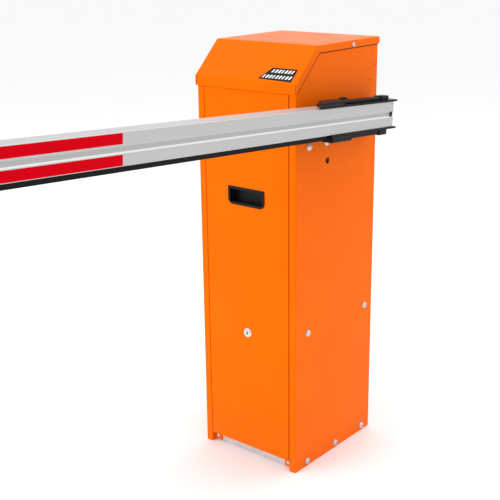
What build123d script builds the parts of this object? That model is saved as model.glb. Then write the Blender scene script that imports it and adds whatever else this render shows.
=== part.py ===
from build123d import *
import math
import os

os.makedirs("parts", exist_ok=True)

# Parking barrier gate, millimetres.
# X is to the boom's side, -Y is the front (the boom's tip lies there), +Z is up.
# The origin is on the ground, at the middle of the cabinet's footprint.

# ---------------------------------------------------------------- driving dimensions
# cabinet
CABINET_WIDTH = 282.0
CABINET_DEPTH = 315.0
CABINET_HEIGHT = 1000.0
SHEET = 2.0
CAP_SHEET = 2.0
CAP_GAP = 1.0
CAP_SIDE_LIP = 16.0
CAP_FRONT_LIP = 23.0
CAP_SLANT_RUN = 77.5
CAP_SLANT_RISE = 75.0
CAP_SLIT = 1.2
STILE_WIDTH = 18.7
STILE_RETURN = 14.0
REAR_FLANGE = 22.0
VENT_INSET = 150.0
VENT_PITCH = 14.0
VENT_LENGTH = 120.0
VENT_HEIGHT = 5.0
BEND_RADIUS = 3.0
BADGE_CORNERS = ((36.0, -47.0), (118.0, -47.0), (126.0, -15.0), (62.0, -15.0))
BADGE_THICKNESS = 0.5
FOOT_TAB_WIDTH = 22.0
FOOT_HEIGHT = 24.0
FOOT_SCREW_INSET = 11.0
# base
BASE_SHEET = 3.0
ANCHOR_SPACING_X = 190.0
ANCHOR_SPACING_Y = 220.0
ANCHOR_HOLE_R = 7.0
CABLE_OPENING = 110.0
# door
DOOR_GAP = 2.0
DOOR_TOP_GAP = 1.0
DOOR_RETURN = 14.0
DOOR_TONGUE_WIDTH = 40.0
DOOR_TONGUE_HEIGHT = 10.0
DOOR_TONGUE_X = 70.0
HANDLE_WIDTH = 107.0
HANDLE_HEIGHT = 43.0
HANDLE_Z = 0.658 * CABINET_HEIGHT
HANDLE_RIM = 4.2
HANDLE_RAISE = 2.2
HANDLE_DEPTH = 22.0
HANDLE_WALL = 2.0
LOCK_Z = 327.0
LOCK_FACE_R = 11.5
LOCK_FACE_HEIGHT = 3.0
LOCK_BARREL_R = 9.3
LOCK_BARREL_LENGTH = 24.0
LOCK_PLUG_R = 6.0
LOCK_CAM_REACH = 30.0
# screws
SCREW_R = 4.0
SCREW_HEAD_R = 7.0
SCREW_HEAD_HEIGHT = 4.4
SCREW_SOCKET = 5.0
WASHER_R = 8.2
WASHER_THICKNESS = 1.6
SMALL_SCREW_R = 3.0
SMALL_HEAD_R = 5.4
SMALL_HEAD_HEIGHT = 3.2
SMALL_SOCKET = 4.0
CAP_SCREW_Y = 52.0
BASE_SCREW_Z = 14.0
SHELF_SCREW_Z = 345.5
# mid shelf
SHELF_Z = 365.0
SHELF_FLANGE = 27.0
SHELF_SIDE_FLANGE = 31.0
# drive
SHAFT_Y = 12.0
SHAFT_DROP = 161.5
SHAFT_Z = CABINET_HEIGHT - SHAFT_DROP
SHAFT_R = 17.5
GEAR_MODULE = 4.0
PINION_TEETH = 15
SECTOR_TEETH = 40
GEAR_WIDTH = 16.0
GEAR_CENTRE_Y_OFFSET = 51.0
SECTOR_SPAN = 120.0
BACKLASH = 0.15
PINION_SHAFT_R = 12.5
RELEASE_HOLE_R = 7.5
ACCESSORY_HOLE_R = 2.25
RELEASE_HEX = 10.0
DRIVE_PLATE_THICKNESS = 6.0
INNER_PLATE_THICKNESS = 5.0
PLATE_SPAN = 108.0
BEARING_R = 31.0
BEARING_WIDTH = 16.0
HOUSING_R = 52.0
HOUSING_BOSS_R = 35.0
SPACER_R = 9.0
RUNNING_CLEARANCE = 0.05
GEARBOX_HALF = 44.0
GEARBOX_LENGTH = 78.0
MOTOR_R = 40.0
MOTOR_LENGTH = 130.0
SPRING_MEAN_R = 30.0
SPRING_WIRE_R = 3.0
SPRING_TURNS = 4
SPRING_LEG = 34.0
SPRING_PEG_R = 4.0
SPRING_PEG_GAP = 2.5
# boom
BOOM_PITCH = 4.0
BOOM_LENGTH = 3000.0
BOOM_REAR = 110.0
BOOM_HEIGHT = 58.0
BOOM_DEPTH = 48.0
BOOM_WALL = 1.4
BOOM_GROOVE_TOP = 4.5
BOOM_GROOVE_FLOOR_TOP = 3.5
BOOM_GROOVE_FLOOR_BOTTOM = -3.6
BOOM_GROOVE_BOTTOM = -7.0
BOOM_GROOVE_DEPTH = 1.5
BOOM_END_SLOT = 12.0
BOOM_FOOT = 2.0
RUBBER_DROP = 10.0
STRIP_START = 740.0
STRIP_LENGTH = 300.0
STRIP_PITCH = 600.0
STRIP_HEIGHT = 18.6
STRIP_THICKNESS = 0.25
# boom holder and hub
HUB_GAP = 17.0
HUB_FLANGE_R = 34.0
HUB_HOLE_R = 26.0
HUB_FLANGE_THICKNESS = 9.0
HOLDER_SHEET = 4.0
HOLDER_FRONT = 187.0
HOLDER_LOWER_FRONT = 137.0
HOLDER_FRONT_CUT = 67.0
CLAMP_BAR_REAR = 91.0
CLAMP_BAR_WIDTH = 16.0
CLAMP_LUG_LENGTH = 29.0
CLAMP_HEAD_CHAMFER = 4.0
HOLDER_REAR = 121.0
HOLDER_LIP = 3.0
ESCUTCHEON_R = 39.0
# boom swing, degrees from the modelled pose
SWING_CLOSED = -BOOM_PITCH
SWING_OPEN = 90.0 - BOOM_PITCH

# ---------------------------------------------------------------- derived places
half_width = CABINET_WIDTH / 2
front_y = -CABINET_DEPTH / 2
rear_y = CABINET_DEPTH / 2
inner_x = half_width - SHEET
cap_half = half_width + CAP_GAP + CAP_SHEET
cap_front = front_y - CAP_GAP - CAP_SHEET
cap_rear = rear_y + CAP_GAP + CAP_SHEET
knee_z = CABINET_HEIGHT - CAP_SLANT_RISE
slant = math.atan2(CAP_SLANT_RISE, CAP_SLANT_RUN)
cap_lip_z = knee_z - CAP_FRONT_LIP
body_top = CABINET_HEIGHT - CAP_SHEET
cap_screw_z = CABINET_HEIGHT - CAP_SHEET / 2 - CAP_SIDE_LIP / 2 - 1.5
stile_inner = half_width - STILE_WIDTH
foot_tab_y = front_y + STILE_RETURN - SHEET
base_front = front_y + STILE_RETURN
flange_y = rear_y - SHEET
door_half = stile_inner - DOOR_GAP
door_bottom = FOOT_HEIGHT + DOOR_GAP
door_top = cap_lip_z - DOOR_TOP_GAP
shelf_front = front_y + LOCK_BARREL_LENGTH - 2.5 * DOOR_GAP + SHEET
foot_screw_x = stile_inner - FOOT_SCREW_INSET

plate_outer = inner_x
plate_inner = plate_outer - DRIVE_PLATE_THICKNESS
cage_inner = plate_inner - PLATE_SPAN
gearbox_face = cage_inner - INNER_PLATE_THICKNESS
coil_start = cage_inner + 2 * SPRING_WIRE_R
coil_length = SPRING_TURNS * (2 * SPRING_WIRE_R + 0.8)
lever_x = coil_start + coil_length + 2 * SPRING_WIRE_R
centre_distance = GEAR_MODULE * (PINION_TEETH + SECTOR_TEETH) / 2
pinion_y = SHAFT_Y - GEAR_CENTRE_Y_OFFSET
pinion_z = SHAFT_Z - math.sqrt(centre_distance**2 - GEAR_CENTRE_Y_OFFSET**2)
gear_x = plate_inner - 43.0
mesh_angle = math.degrees(math.atan2(pinion_z - SHAFT_Z, pinion_y - SHAFT_Y))

hub_face = half_width + HUB_GAP
boom_inner = hub_face + HOLDER_SHEET
boom_outer = boom_inner + BOOM_DEPTH
boom_mid = boom_inner + BOOM_DEPTH / 2
boom_tip = BOOM_LENGTH - BOOM_REAR
half_boom = BOOM_HEIGHT / 2

pitch = math.radians(BOOM_PITCH)
# Across the boom: local x is X, local y is square to the boom and up, local z runs along it to the tip.
across_boom = Plane(
    origin=(0, SHAFT_Y, SHAFT_Z),
    x_dir=(1, 0, 0),
    z_dir=(0, -math.cos(pitch), math.sin(pitch)),
)
# Down through the boom: local x is X, local y runs along the boom to the tip.
through_boom = Plane(
    origin=(0, SHAFT_Y, SHAFT_Z),
    x_dir=(1, 0, 0),
    z_dir=(0, -math.sin(pitch), -math.cos(pitch)),
)
# The door's face seen from the front: local x is X, local y is Z, local z points out of the door.
door_face = Plane(origin=(0, front_y, 0), x_dir=(1, 0, 0), z_dir=(0, -1, 0))

base_screw_ys = (-111.0, 6.0, 122.0)
shelf_screw_ys = (-111.0, 124.0)
drive_screw_spots = [(y, SHAFT_Z + z) for y in (-110.5, -44.5) for z in (-55.0, 3.5)]
spacer_spots = [(y, SHAFT_Z + z) for y in (-110.0, 95.0) for z in (-131.5, 53.5)]
accessory_spots = ((146.0, body_top - 61.0), (127.5, body_top - 95.0), (148.0, body_top - 139.0))
rear_screw_x = half_width - REAR_FLANGE / 2
rear_screw_zs = (60.0, CABINET_HEIGHT / 2, CABINET_HEIGHT - 60.0)
bearing_bolt_radius = (HOUSING_R + HOUSING_BOSS_R) / 2
flat = (Align.CENTER, Align.CENTER, Align.MIN)


# ---------------------------------------------------------------- small helpers
def slab(x_ends, y_ends, z_ends, mode=Mode.ADD):
    """Add or cut a block between two values on each axis."""
    middle = [(low + high) / 2 for low, high in (x_ends, y_ends, z_ends)]
    size = [abs(high - low) for low, high in (x_ends, y_ends, z_ends)]
    with Locations(tuple(middle)):
        Box(*size, mode=mode)


def rod(start, direction, radius, length, mode=Mode.ADD):
    """Add or cut a cylinder from a point along a direction."""
    with Locations(Plane(origin=start, z_dir=direction).location):
        Cylinder(radius, length, align=flat, mode=mode)


def boom_point(x, up, along):
    """A point given beside, above and along the boom, from the shaft's axis."""
    return across_boom.from_local_coords(Vector(x, up, along))


def on_circle(radius, angle):
    """The point at a radius and an angle in degrees about the origin."""
    return radius * math.cos(math.radians(angle)), radius * math.sin(math.radians(angle))


def slant_line(inset, front):
    """The two corners of the cabinet's slanted front edge, a given depth under the cap's outside."""
    top_z = CABINET_HEIGHT - inset
    low_z = knee_z + (front - cap_front) * math.tan(slant) - inset / math.cos(slant)
    high_y = cap_front + (top_z - knee_z + inset / math.cos(slant)) / math.tan(slant)
    return (front, low_z), (high_y, top_z)


def gear_points(teeth, first, count, centre_angle, thin):
    """Outline points of some involute teeth, in a frame centred on the gear, angles in degrees."""
    pitch_r = GEAR_MODULE * teeth / 2
    base_r = pitch_r * math.cos(math.radians(20))
    tip_r = pitch_r + 0.9 * GEAR_MODULE
    root_r = pitch_r - 1.15 * GEAR_MODULE
    tooth_half = math.pi / 2 / teeth - thin / 2 / pitch_r
    involute_at_pitch = math.tan(math.radians(20)) - math.radians(20)
    radii = [base_r + (tip_r - base_r) * step / 6 for step in range(7)]
    flank = []
    if root_r < base_r:
        flank.append((root_r, tooth_half + involute_at_pitch))
    for radius in radii:
        if radius >= root_r:
            turn = math.acos(min(1.0, base_r / radius))
            flank.append((radius, tooth_half + involute_at_pitch - (math.tan(turn) - turn)))
    if root_r >= base_r:
        turn = math.acos(base_r / root_r)
        flank.insert(0, (root_r, tooth_half + involute_at_pitch - (math.tan(turn) - turn)))
    points = []
    for tooth in range(first, first + count):
        middle = math.radians(centre_angle) + tooth * 2 * math.pi / teeth
        for radius, half in flank:
            points.append((radius * math.cos(middle - half), radius * math.sin(middle - half)))
        for radius, half in reversed(flank):
            points.append((radius * math.cos(middle + half), radius * math.sin(middle + half)))
    return points


def button_screw(shank_r, length, head_r, head_h, socket):
    """Button-head screw with a hexagon socket, its head seated on z = 0 and its shank along -Z."""
    with BuildPart(mode=Mode.PRIVATE) as screw:
        with BuildSketch(Plane.XZ):
            with BuildLine():
                Polyline((0, head_h), (0, -length), (shank_r, -length), (shank_r, 0))
                Polyline((shank_r, 0), (head_r, 0), (head_r, head_h / 4))
                ThreePointArc((head_r, head_h / 4), (head_r * 0.86, head_h * 0.72), (head_r * 0.55, head_h))
                Line((head_r * 0.55, head_h), (0, head_h))
            make_face()
        revolve(axis=Axis.Z)
        with BuildSketch(Plane.XY.offset(head_h)):
            RegularPolygon(socket / 2, 6, major_radius=False)
        extrude(amount=-head_h * 0.6, mode=Mode.SUBTRACT)
    return screw.part


def hex_bolt(shank_r, length, across_flats, head_h):
    """Hexagon-head bolt, its head seated on z = 0 and its shank along -Z."""
    with BuildPart(mode=Mode.PRIVATE) as bolt:
        with BuildSketch(Plane.XY):
            RegularPolygon(across_flats / 2, 6, major_radius=False)
        extrude(amount=head_h)
        chamfer(bolt.faces().sort_by(Axis.Z)[-1].edges(), head_h / 8)
        with Locations((0, 0, -length)):
            Cylinder(shank_r, length, align=flat)
    return bolt.part


def spring_peg_place(coil_end, leg_way, gap):
    """Centre of the peg that a spring leg bears on, outside the leg and most of the way along it."""
    outward = Vector(0, coil_end.Y - SHAFT_Y, coil_end.Z - SHAFT_Z).normalized()
    return coil_end + leg_way * (SPRING_LEG * 0.75) + outward * (SPRING_WIRE_R + SPRING_PEG_R + gap)


def washer(hole_r):
    """Flat washer lying on z = 0."""
    with BuildPart(mode=Mode.PRIVATE) as ring:
        Cylinder(WASHER_R, WASHER_THICKNESS, align=flat)
        Cylinder(hole_r, WASHER_THICKNESS, align=flat, mode=Mode.SUBTRACT)
        chamfer(ring.faces().sort_by(Axis.Z)[-1].outer_wire().edges(), WASHER_THICKNESS / 4)
    return ring.part


# ---------------------------------------------------------------- cabinet: base
with BuildPart() as base_frame:
    base_half = inner_x
    base_rear = flange_y - SHEET
    slab((-base_half, base_half), (base_front, base_rear), (0, BASE_SHEET))
    for side in (-1, 1):
        slab((side * (base_half - BASE_SHEET), side * base_half), (base_front, base_rear), (0, FOOT_HEIGHT))
    slab((-base_half, base_half), (base_rear - BASE_SHEET, base_rear), (0, FOOT_HEIGHT))
    slab((-base_half, base_half), (base_front, base_front + BASE_SHEET), (0, FOOT_HEIGHT - DOOR_GAP))
    for side in (-1, 1):
        slab(
            (side * (stile_inner - 2), side * (base_half + 1)),
            (base_front - 1, base_front + SHEET + BASE_SHEET),
            (-1, FOOT_HEIGHT + 1),
            mode=Mode.SUBTRACT,
        )
    fillet(base_frame.edges().filter_by(Axis.X).group_by(Axis.Z)[0].group_by(Axis.Y)[0], BASE_SHEET)
    with GridLocations(ANCHOR_SPACING_X, ANCHOR_SPACING_Y, 2, 2):
        Cylinder(ANCHOR_HOLE_R, 4 * BASE_SHEET, mode=Mode.SUBTRACT)
    with BuildSketch(Plane.XY):
        RectangleRounded(CABLE_OPENING, CABLE_OPENING, 12)
    extrude(amount=BASE_SHEET, mode=Mode.SUBTRACT)
    for side in (-1, 1):
        for y in base_screw_ys:
            rod((0, y, BASE_SCREW_Z), (side, 0, 0), SCREW_R, base_half, mode=Mode.SUBTRACT)
        foot_hole = (side * foot_screw_x, 0, BASE_SCREW_Z)
        rod(foot_hole, (0, -1, 0), SMALL_SCREW_R, CABINET_DEPTH, mode=Mode.SUBTRACT)
base_frame.part.label = "base_frame"
export_step(base_frame.part, "parts/base_frame.step")


# ---------------------------------------------------------------- cabinet: folded side sheets
def side_blank(side):
    """A side sheet with its stile, foot tab and rear flange; side is +1 at the boom, -1 opposite."""
    with BuildPart(mode=Mode.PRIVATE) as blank:
        with BuildSketch(Plane.XY) as section:
            with BuildLine():
                Polyline(
                    (side * stile_inner, base_front),
                    (side * (stile_inner + SHEET), base_front),
                    (side * (stile_inner + SHEET), front_y + SHEET),
                    (side * inner_x, front_y + SHEET),
                    (side * inner_x, flange_y - SHEET),
                    (side * (half_width - REAR_FLANGE), flange_y - SHEET),
                    (side * (half_width - REAR_FLANGE), flange_y),
                    (side * half_width, flange_y),
                    (side * half_width, front_y),
                    (side * stile_inner, front_y),
                    close=True,
                )
            make_face()
            front_corners = section.vertices().group_by(Axis.Y)[0].sort_by(Axis.X)
            fillet(front_corners[-1] if side > 0 else front_corners[0], BEND_RADIUS)
            front_corners = section.vertices().group_by(Axis.Y)[0].sort_by(Axis.X)
            fillet(front_corners[0] if side > 0 else front_corners[-1], BEND_RADIUS / 2)
        extrude(amount=body_top)
        with BuildSketch(Plane.YZ):
            with BuildLine():
                low, high = slant_line(CAP_SHEET, front_y)
                over = high[1] + 1
                Polyline((low[0] - 1, low[1]), low, high, (high[0], over), (low[0] - 1, over), close=True)
            make_face()
        extrude(amount=CABINET_WIDTH, both=True, mode=Mode.SUBTRACT)
        slab(
            (side * (stile_inner - FOOT_TAB_WIDTH), side * (stile_inner + SHEET)),
            (foot_tab_y, base_front),
            (BEND_RADIUS, FOOT_HEIGHT - DOOR_GAP),
        )
        for y in base_screw_ys:
            rod((0, y, BASE_SCREW_Z), (side, 0, 0), SCREW_R, CABINET_WIDTH, mode=Mode.SUBTRACT)
        for y in shelf_screw_ys:
            rod((0, y, SHELF_SCREW_Z), (side, 0, 0), SCREW_R, CABINET_WIDTH, mode=Mode.SUBTRACT)
        for z in rear_screw_zs:
            rear_hole = (side * rear_screw_x, 0, z)
            rod(rear_hole, (0, 1, 0), SMALL_SCREW_R, CABINET_DEPTH, mode=Mode.SUBTRACT)
        foot_hole = (side * foot_screw_x, 0, BASE_SCREW_Z)
        rod(foot_hole, (0, -1, 0), SMALL_SCREW_R, CABINET_DEPTH, mode=Mode.SUBTRACT)
        rod((0, CAP_SCREW_Y, cap_screw_z), (side, 0, 0), SMALL_SCREW_R, CABINET_WIDTH, mode=Mode.SUBTRACT)
    return blank.part


left_blank = side_blank(-1)
right_blank = side_blank(1)

with BuildPart() as left_side_panel:
    add(left_blank)
left_side_panel.part.label = "left_side_panel"
export_step(left_side_panel.part, "parts/left_side_panel.step")

with BuildPart() as right_side_panel:
    add(right_blank)
    for y, z in drive_screw_spots:
        rod((0, y, z), (1, 0, 0), SCREW_R, CABINET_WIDTH, mode=Mode.SUBTRACT)
    for y, z in accessory_spots:
        rod((0, y, z), (1, 0, 0), ACCESSORY_HOLE_R, CABINET_WIDTH, mode=Mode.SUBTRACT)
    rod((0, SHAFT_Y, SHAFT_Z), (1, 0, 0), HUB_HOLE_R, CABINET_WIDTH, mode=Mode.SUBTRACT)
    rod((0, pinion_y, pinion_z), (1, 0, 0), RELEASE_HOLE_R, CABINET_WIDTH, mode=Mode.SUBTRACT)
right_side_panel.part.label = "right_side_panel"
export_step(right_side_panel.part, "parts/right_side_panel.step")

# ---------------------------------------------------------------- cabinet: rear sheet, cap, badge
with BuildPart() as rear_panel:
    slab((-half_width, half_width), (flange_y, rear_y), (0, body_top))
    for side in (-1, 1):
        for z in rear_screw_zs:
            rear_hole = (side * rear_screw_x, 0, z)
            rod(rear_hole, (0, 1, 0), SMALL_SCREW_R, CABINET_DEPTH, mode=Mode.SUBTRACT)
    rear_view = Plane(origin=(0, rear_y, 0), x_dir=(-1, 0, 0), z_dir=(0, 1, 0))
    with BuildSketch(rear_view):
        for vent_z in (VENT_INSET, CABINET_HEIGHT - VENT_INSET):
            with Locations((0, vent_z)):
                with GridLocations(0, VENT_PITCH, 1, 6):
                    SlotOverall(VENT_LENGTH, VENT_HEIGHT)
    extrude(amount=-SHEET, mode=Mode.SUBTRACT)
rear_panel.part.label = "rear_panel"
export_step(rear_panel.part, "parts/rear_panel.step")

with BuildPart() as top_cap:
    with BuildSketch(Plane.YZ):
        with BuildLine():
            low, high = slant_line(0, cap_front)
            top_rear = (cap_rear, CABINET_HEIGHT)
            Polyline((cap_front, cap_lip_z), low, high, top_rear, (cap_rear, cap_lip_z), close=True)
        make_face()
    extrude(amount=cap_half, both=True)
    cap_bends = top_cap.edges().filter_by_position(Axis.Z, knee_z - 1, CABINET_HEIGHT + 1)
    fillet(cap_bends.filter_by(Axis.Z, reverse=True), CAP_SHEET)
    with BuildSketch(Plane.YZ):
        with BuildLine():
            low, high = slant_line(CAP_SHEET, cap_front + CAP_SHEET)
            inside_rear = cap_rear - CAP_SHEET
            under = cap_lip_z - 1
            Polyline((low[0], under), low, high, (inside_rear, body_top), (inside_rear, under), close=True)
        make_face()
    extrude(amount=cap_half - CAP_SHEET, both=True, mode=Mode.SUBTRACT)
    with BuildSketch(Plane.YZ):
        with BuildLine():
            low, high = slant_line(CAP_SIDE_LIP, cap_front + CAP_SHEET)
            lip_rear = cap_rear + 1
            Polyline((low[0], under), low, high, (lip_rear, high[1]), (lip_rear, under), close=True)
        make_face()
    extrude(amount=cap_half + 1, both=True, mode=Mode.SUBTRACT)
    for side in (-1, 1):
        slab(
            (side * (cap_half - CAP_SHEET - CAP_SLIT), side * (cap_half - CAP_SHEET)),
            (cap_front - 1, cap_front + CAP_SHEET),
            (cap_lip_z - 1, knee_z),
            mode=Mode.SUBTRACT,
        )
        rod((0, CAP_SCREW_Y, cap_screw_z), (side, 0, 0), SMALL_SCREW_R, CABINET_WIDTH, mode=Mode.SUBTRACT)
top_cap.part.label = "top_cap"
export_step(top_cap.part, "parts/top_cap.step")

with BuildPart() as badge_plate:
    low, high = slant_line(0, cap_front)
    slant_face = Plane(
        origin=(0, (low[0] + high[0]) / 2, (low[1] + high[1]) / 2),
        x_dir=(1, 0, 0),
        z_dir=(0, -math.sin(slant), math.cos(slant)),
    )
    with BuildSketch(slant_face):
        with BuildLine():
            Polyline(*BADGE_CORNERS, close=True)
        make_face()
    extrude(amount=BADGE_THICKNESS)
badge_plate.part.label = "badge_plate"
export_step(badge_plate.part, "parts/badge_plate.step")

# ---------------------------------------------------------------- cabinet: inner shelf and top rail
with BuildPart() as mid_shelf:
    shelf_rear = flange_y - 3 * SHEET
    slab((-inner_x, inner_x), (shelf_front, shelf_rear), (SHELF_Z - SHEET, SHELF_Z))
    slab((-inner_x, inner_x), (shelf_front, shelf_front + SHEET), (SHELF_Z - SHELF_FLANGE, SHELF_Z))
    for side in (-1, 1):
        flange_ends = (side * (inner_x - SHEET), side * inner_x)
        slab(flange_ends, (shelf_front, shelf_rear), (SHELF_Z - SHELF_SIDE_FLANGE, SHELF_Z))
        for y in shelf_screw_ys:
            rod((0, y, SHELF_SCREW_Z), (side, 0, 0), SCREW_R, inner_x, mode=Mode.SUBTRACT)
    with BuildSketch(Plane.XY.offset(SHELF_Z)):
        with Locations((-100, 90), (100, 90)):
            RectangleRounded(50, 50, 8)
    extrude(amount=-SHEET, mode=Mode.SUBTRACT)
mid_shelf.part.label = "mid_shelf"
export_step(mid_shelf.part, "parts/mid_shelf.step")

with BuildPart() as top_rail:
    rail_front = front_y + STILE_RETURN + DOOR_GAP
    rail_top = knee_z - 12
    slab((-inner_x, inner_x), (rail_front, rail_front + SHEET), (rail_top - 30, rail_top))
    slab((-inner_x, inner_x), (rail_front, rail_front + 26), (rail_top - SHEET, rail_top))
top_rail.part.label = "top_rail"
export_step(top_rail.part, "parts/top_rail.step")

# ---------------------------------------------------------------- door and its lock
with BuildPart() as door_panel:
    door_back = front_y + DOOR_RETURN
    slab((-door_half, door_half), (front_y, door_back), (door_bottom, door_top))
    inner_door = door_half - SHEET
    inner_heights = (door_bottom + SHEET, door_top - SHEET)
    slab((-inner_door, inner_door), (front_y + SHEET, door_back), inner_heights, mode=Mode.SUBTRACT)
    for side in (-1, 1):
        tongue_x = side * DOOR_TONGUE_X
        slab(
            (tongue_x - DOOR_TONGUE_WIDTH / 2, tongue_x + DOOR_TONGUE_WIDTH / 2),
            (front_y, front_y + SHEET),
            (door_top, door_top + DOOR_TONGUE_HEIGHT),
        )
    with BuildSketch(door_face):
        with Locations((0, HANDLE_Z)):
            RectangleRounded(HANDLE_WIDTH - 2 * HANDLE_RIM, HANDLE_HEIGHT - 2 * HANDLE_RIM, 3)
        with Locations((0, LOCK_Z)):
            Circle(LOCK_BARREL_R)
    extrude(amount=-SHEET, mode=Mode.SUBTRACT)
door_panel.part.label = "door_panel"
export_step(door_panel.part, "parts/door_panel.step")

with BuildPart() as door_handle:
    with BuildSketch(door_face):
        with Locations((0, HANDLE_Z)):
            Rectangle(HANDLE_WIDTH, HANDLE_HEIGHT)
    extrude(amount=HANDLE_RAISE)
    rim_edges = door_handle.edges().filter_by(Axis.Y)
    fillet(rim_edges.group_by(Axis.Z)[0], 14)
    rim_edges = door_handle.edges().filter_by(Axis.Y)
    fillet(rim_edges.group_by(Axis.Z)[-1], 4)
    fillet(door_handle.faces().sort_by(Axis.Y)[0].edges(), HANDLE_RAISE * 0.6)
    with BuildSketch(door_face):
        with Locations((0, HANDLE_Z)):
            RectangleRounded(HANDLE_WIDTH - 2 * HANDLE_RIM, HANDLE_HEIGHT - 2 * HANDLE_RIM, 3)
    extrude(amount=-HANDLE_DEPTH)
    with BuildSketch(door_face.offset(HANDLE_RAISE)):
        with Locations((0, HANDLE_Z)):
            pocket_trim = 2 * (HANDLE_RIM + HANDLE_WALL)
            RectangleRounded(HANDLE_WIDTH - pocket_trim, HANDLE_HEIGHT - pocket_trim, 2)
    extrude(amount=-(HANDLE_RAISE + HANDLE_DEPTH - HANDLE_WALL), mode=Mode.SUBTRACT)
door_handle.part.label = "door_handle"
export_step(door_handle.part, "parts/door_handle.step")

with BuildPart() as lock_body:
    rod((0, front_y, LOCK_Z), (0, -1, 0), LOCK_FACE_R, LOCK_FACE_HEIGHT)
    chamfer(lock_body.faces().sort_by(Axis.Y)[0].edges(), 0.8)
    rod((0, front_y, LOCK_Z), (0, 1, 0), LOCK_BARREL_R, LOCK_BARREL_LENGTH)
    bore_start = (0, front_y - LOCK_FACE_HEIGHT - 1, LOCK_Z)
    bore_length = LOCK_BARREL_LENGTH + LOCK_FACE_HEIGHT + 2
    rod(bore_start, (0, 1, 0), LOCK_PLUG_R + RUNNING_CLEARANCE, bore_length, mode=Mode.SUBTRACT)
lock_body.part.label = "lock_body"
export_step(lock_body.part, "parts/lock_body.step")

with BuildPart() as lock_nut:
    nut_plane = Plane(origin=(0, front_y + SHEET, LOCK_Z), x_dir=(1, 0, 0), z_dir=(0, 1, 0))
    with BuildSketch(nut_plane):
        RegularPolygon(12, 6, major_radius=False)
        Circle(LOCK_BARREL_R, mode=Mode.SUBTRACT)
    extrude(amount=4)
lock_nut.part.label = "lock_nut"
export_step(lock_nut.part, "parts/lock_nut.step")

with BuildPart() as lock_plug:
    cam_y = front_y + LOCK_BARREL_LENGTH + 0.3
    cam_sheet = 2.5
    plug_front = front_y - 3.6
    rod((0, plug_front, LOCK_Z), (0, 1, 0), LOCK_PLUG_R, cam_y - plug_front)
    slab((-1.0, 1.0), (plug_front - 1, plug_front + 9), (LOCK_Z - 4.2, LOCK_Z + 3.2), mode=Mode.SUBTRACT)
    slab((-3.5, 3.5), (cam_y, cam_y + cam_sheet), (LOCK_Z - 3.5, LOCK_Z + 3.5))
lock_plug.part.label = "lock_plug"
export_step(lock_plug.part, "parts/lock_plug.step")

with BuildPart() as lock_cam:
    cam_plane = Plane(origin=(0, cam_y, LOCK_Z), x_dir=(1, 0, 0), z_dir=(0, 1, 0))
    with BuildSketch(cam_plane):
        with Locations((LOCK_CAM_REACH / 2 - 4, 0)):
            RectangleRounded(LOCK_CAM_REACH + 8, 16, 5)
        Rectangle(7, 7, mode=Mode.SUBTRACT)
    extrude(amount=cam_sheet)
lock_cam.part.label = "lock_cam"
export_step(lock_cam.part, "parts/lock_cam.step")

with BuildPart() as lock_cam_screw:
    rod((0, cam_y + cam_sheet, LOCK_Z), (0, 1, 0), 5.5, 2.5)
    fillet(lock_cam_screw.faces().sort_by(Axis.Y)[-1].edges(), 1)
    slot_y = cam_y + cam_sheet + 1.5
    slab((-5.6, 5.6), (slot_y, slot_y + 1.5), (LOCK_Z - 0.6, LOCK_Z + 0.6), mode=Mode.SUBTRACT)
lock_cam_screw.part.label = "lock_cam_screw"
export_step(lock_cam_screw.part, "parts/lock_cam_screw.step")

# ---------------------------------------------------------------- cabinet screws and washers
washer_face = half_width + WASHER_THICKNESS
panel_grip = WASHER_THICKNESS + SHEET + BASE_SHEET - 0.5
panel_screw = button_screw(SCREW_R, panel_grip, SCREW_HEAD_R, SCREW_HEAD_HEIGHT, SCREW_SOCKET)
drive_grip = WASHER_THICKNESS + SHEET + DRIVE_PLATE_THICKNESS - 0.5
drive_screw = button_screw(SCREW_R, drive_grip, SCREW_HEAD_R, SCREW_HEAD_HEIGHT, SCREW_SOCKET)
cap_grip = CAP_SHEET + CAP_GAP + SHEET
small_screw = button_screw(SMALL_SCREW_R, cap_grip, SMALL_HEAD_R, SMALL_HEAD_HEIGHT, SMALL_SOCKET)
foot_grip = SHEET + BASE_SHEET
foot_screw = button_screw(SMALL_SCREW_R, foot_grip, SMALL_HEAD_R, SMALL_HEAD_HEIGHT, SMALL_SOCKET)
panel_washer = washer(SCREW_R)
side_spots = [(y, BASE_SCREW_Z) for y in base_screw_ys] + [(y, SHELF_SCREW_Z) for y in shelf_screw_ys]

with BuildPart() as panel_screws:
    for side in (-1, 1):
        for y, z in side_spots:
            with Locations(Plane(origin=(side * washer_face, y, z), z_dir=(side, 0, 0)).location):
                add(panel_screw)
    for y, z in drive_screw_spots:
        with Locations(Plane(origin=(washer_face, y, z), z_dir=(1, 0, 0)).location):
            add(drive_screw)
panel_screws.part.label = "panel_screws"
export_step(panel_screws.part, "parts/panel_screws.step")

with BuildPart() as panel_washers:
    for side in (-1, 1):
        for y, z in side_spots:
            with Locations(Plane(origin=(side * half_width, y, z), z_dir=(side, 0, 0)).location):
                add(panel_washer)
    for y, z in drive_screw_spots:
        with Locations(Plane(origin=(half_width, y, z), z_dir=(1, 0, 0)).location):
            add(panel_washer)
panel_washers.part.label = "panel_washers"
export_step(panel_washers.part, "parts/panel_washers.step")

with BuildPart() as sheet_screws:
    for side in (-1, 1):
        origin = (side * cap_half, CAP_SCREW_Y, cap_screw_z)
        with Locations(Plane(origin=origin, z_dir=(side, 0, 0)).location):
            add(small_screw)
        for z in rear_screw_zs:
            origin = (side * rear_screw_x, rear_y, z)
            with Locations(Plane(origin=origin, z_dir=(0, 1, 0)).location):
                add(small_screw)
sheet_screws.part.label = "sheet_screws"
export_step(sheet_screws.part, "parts/sheet_screws.step")

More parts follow.
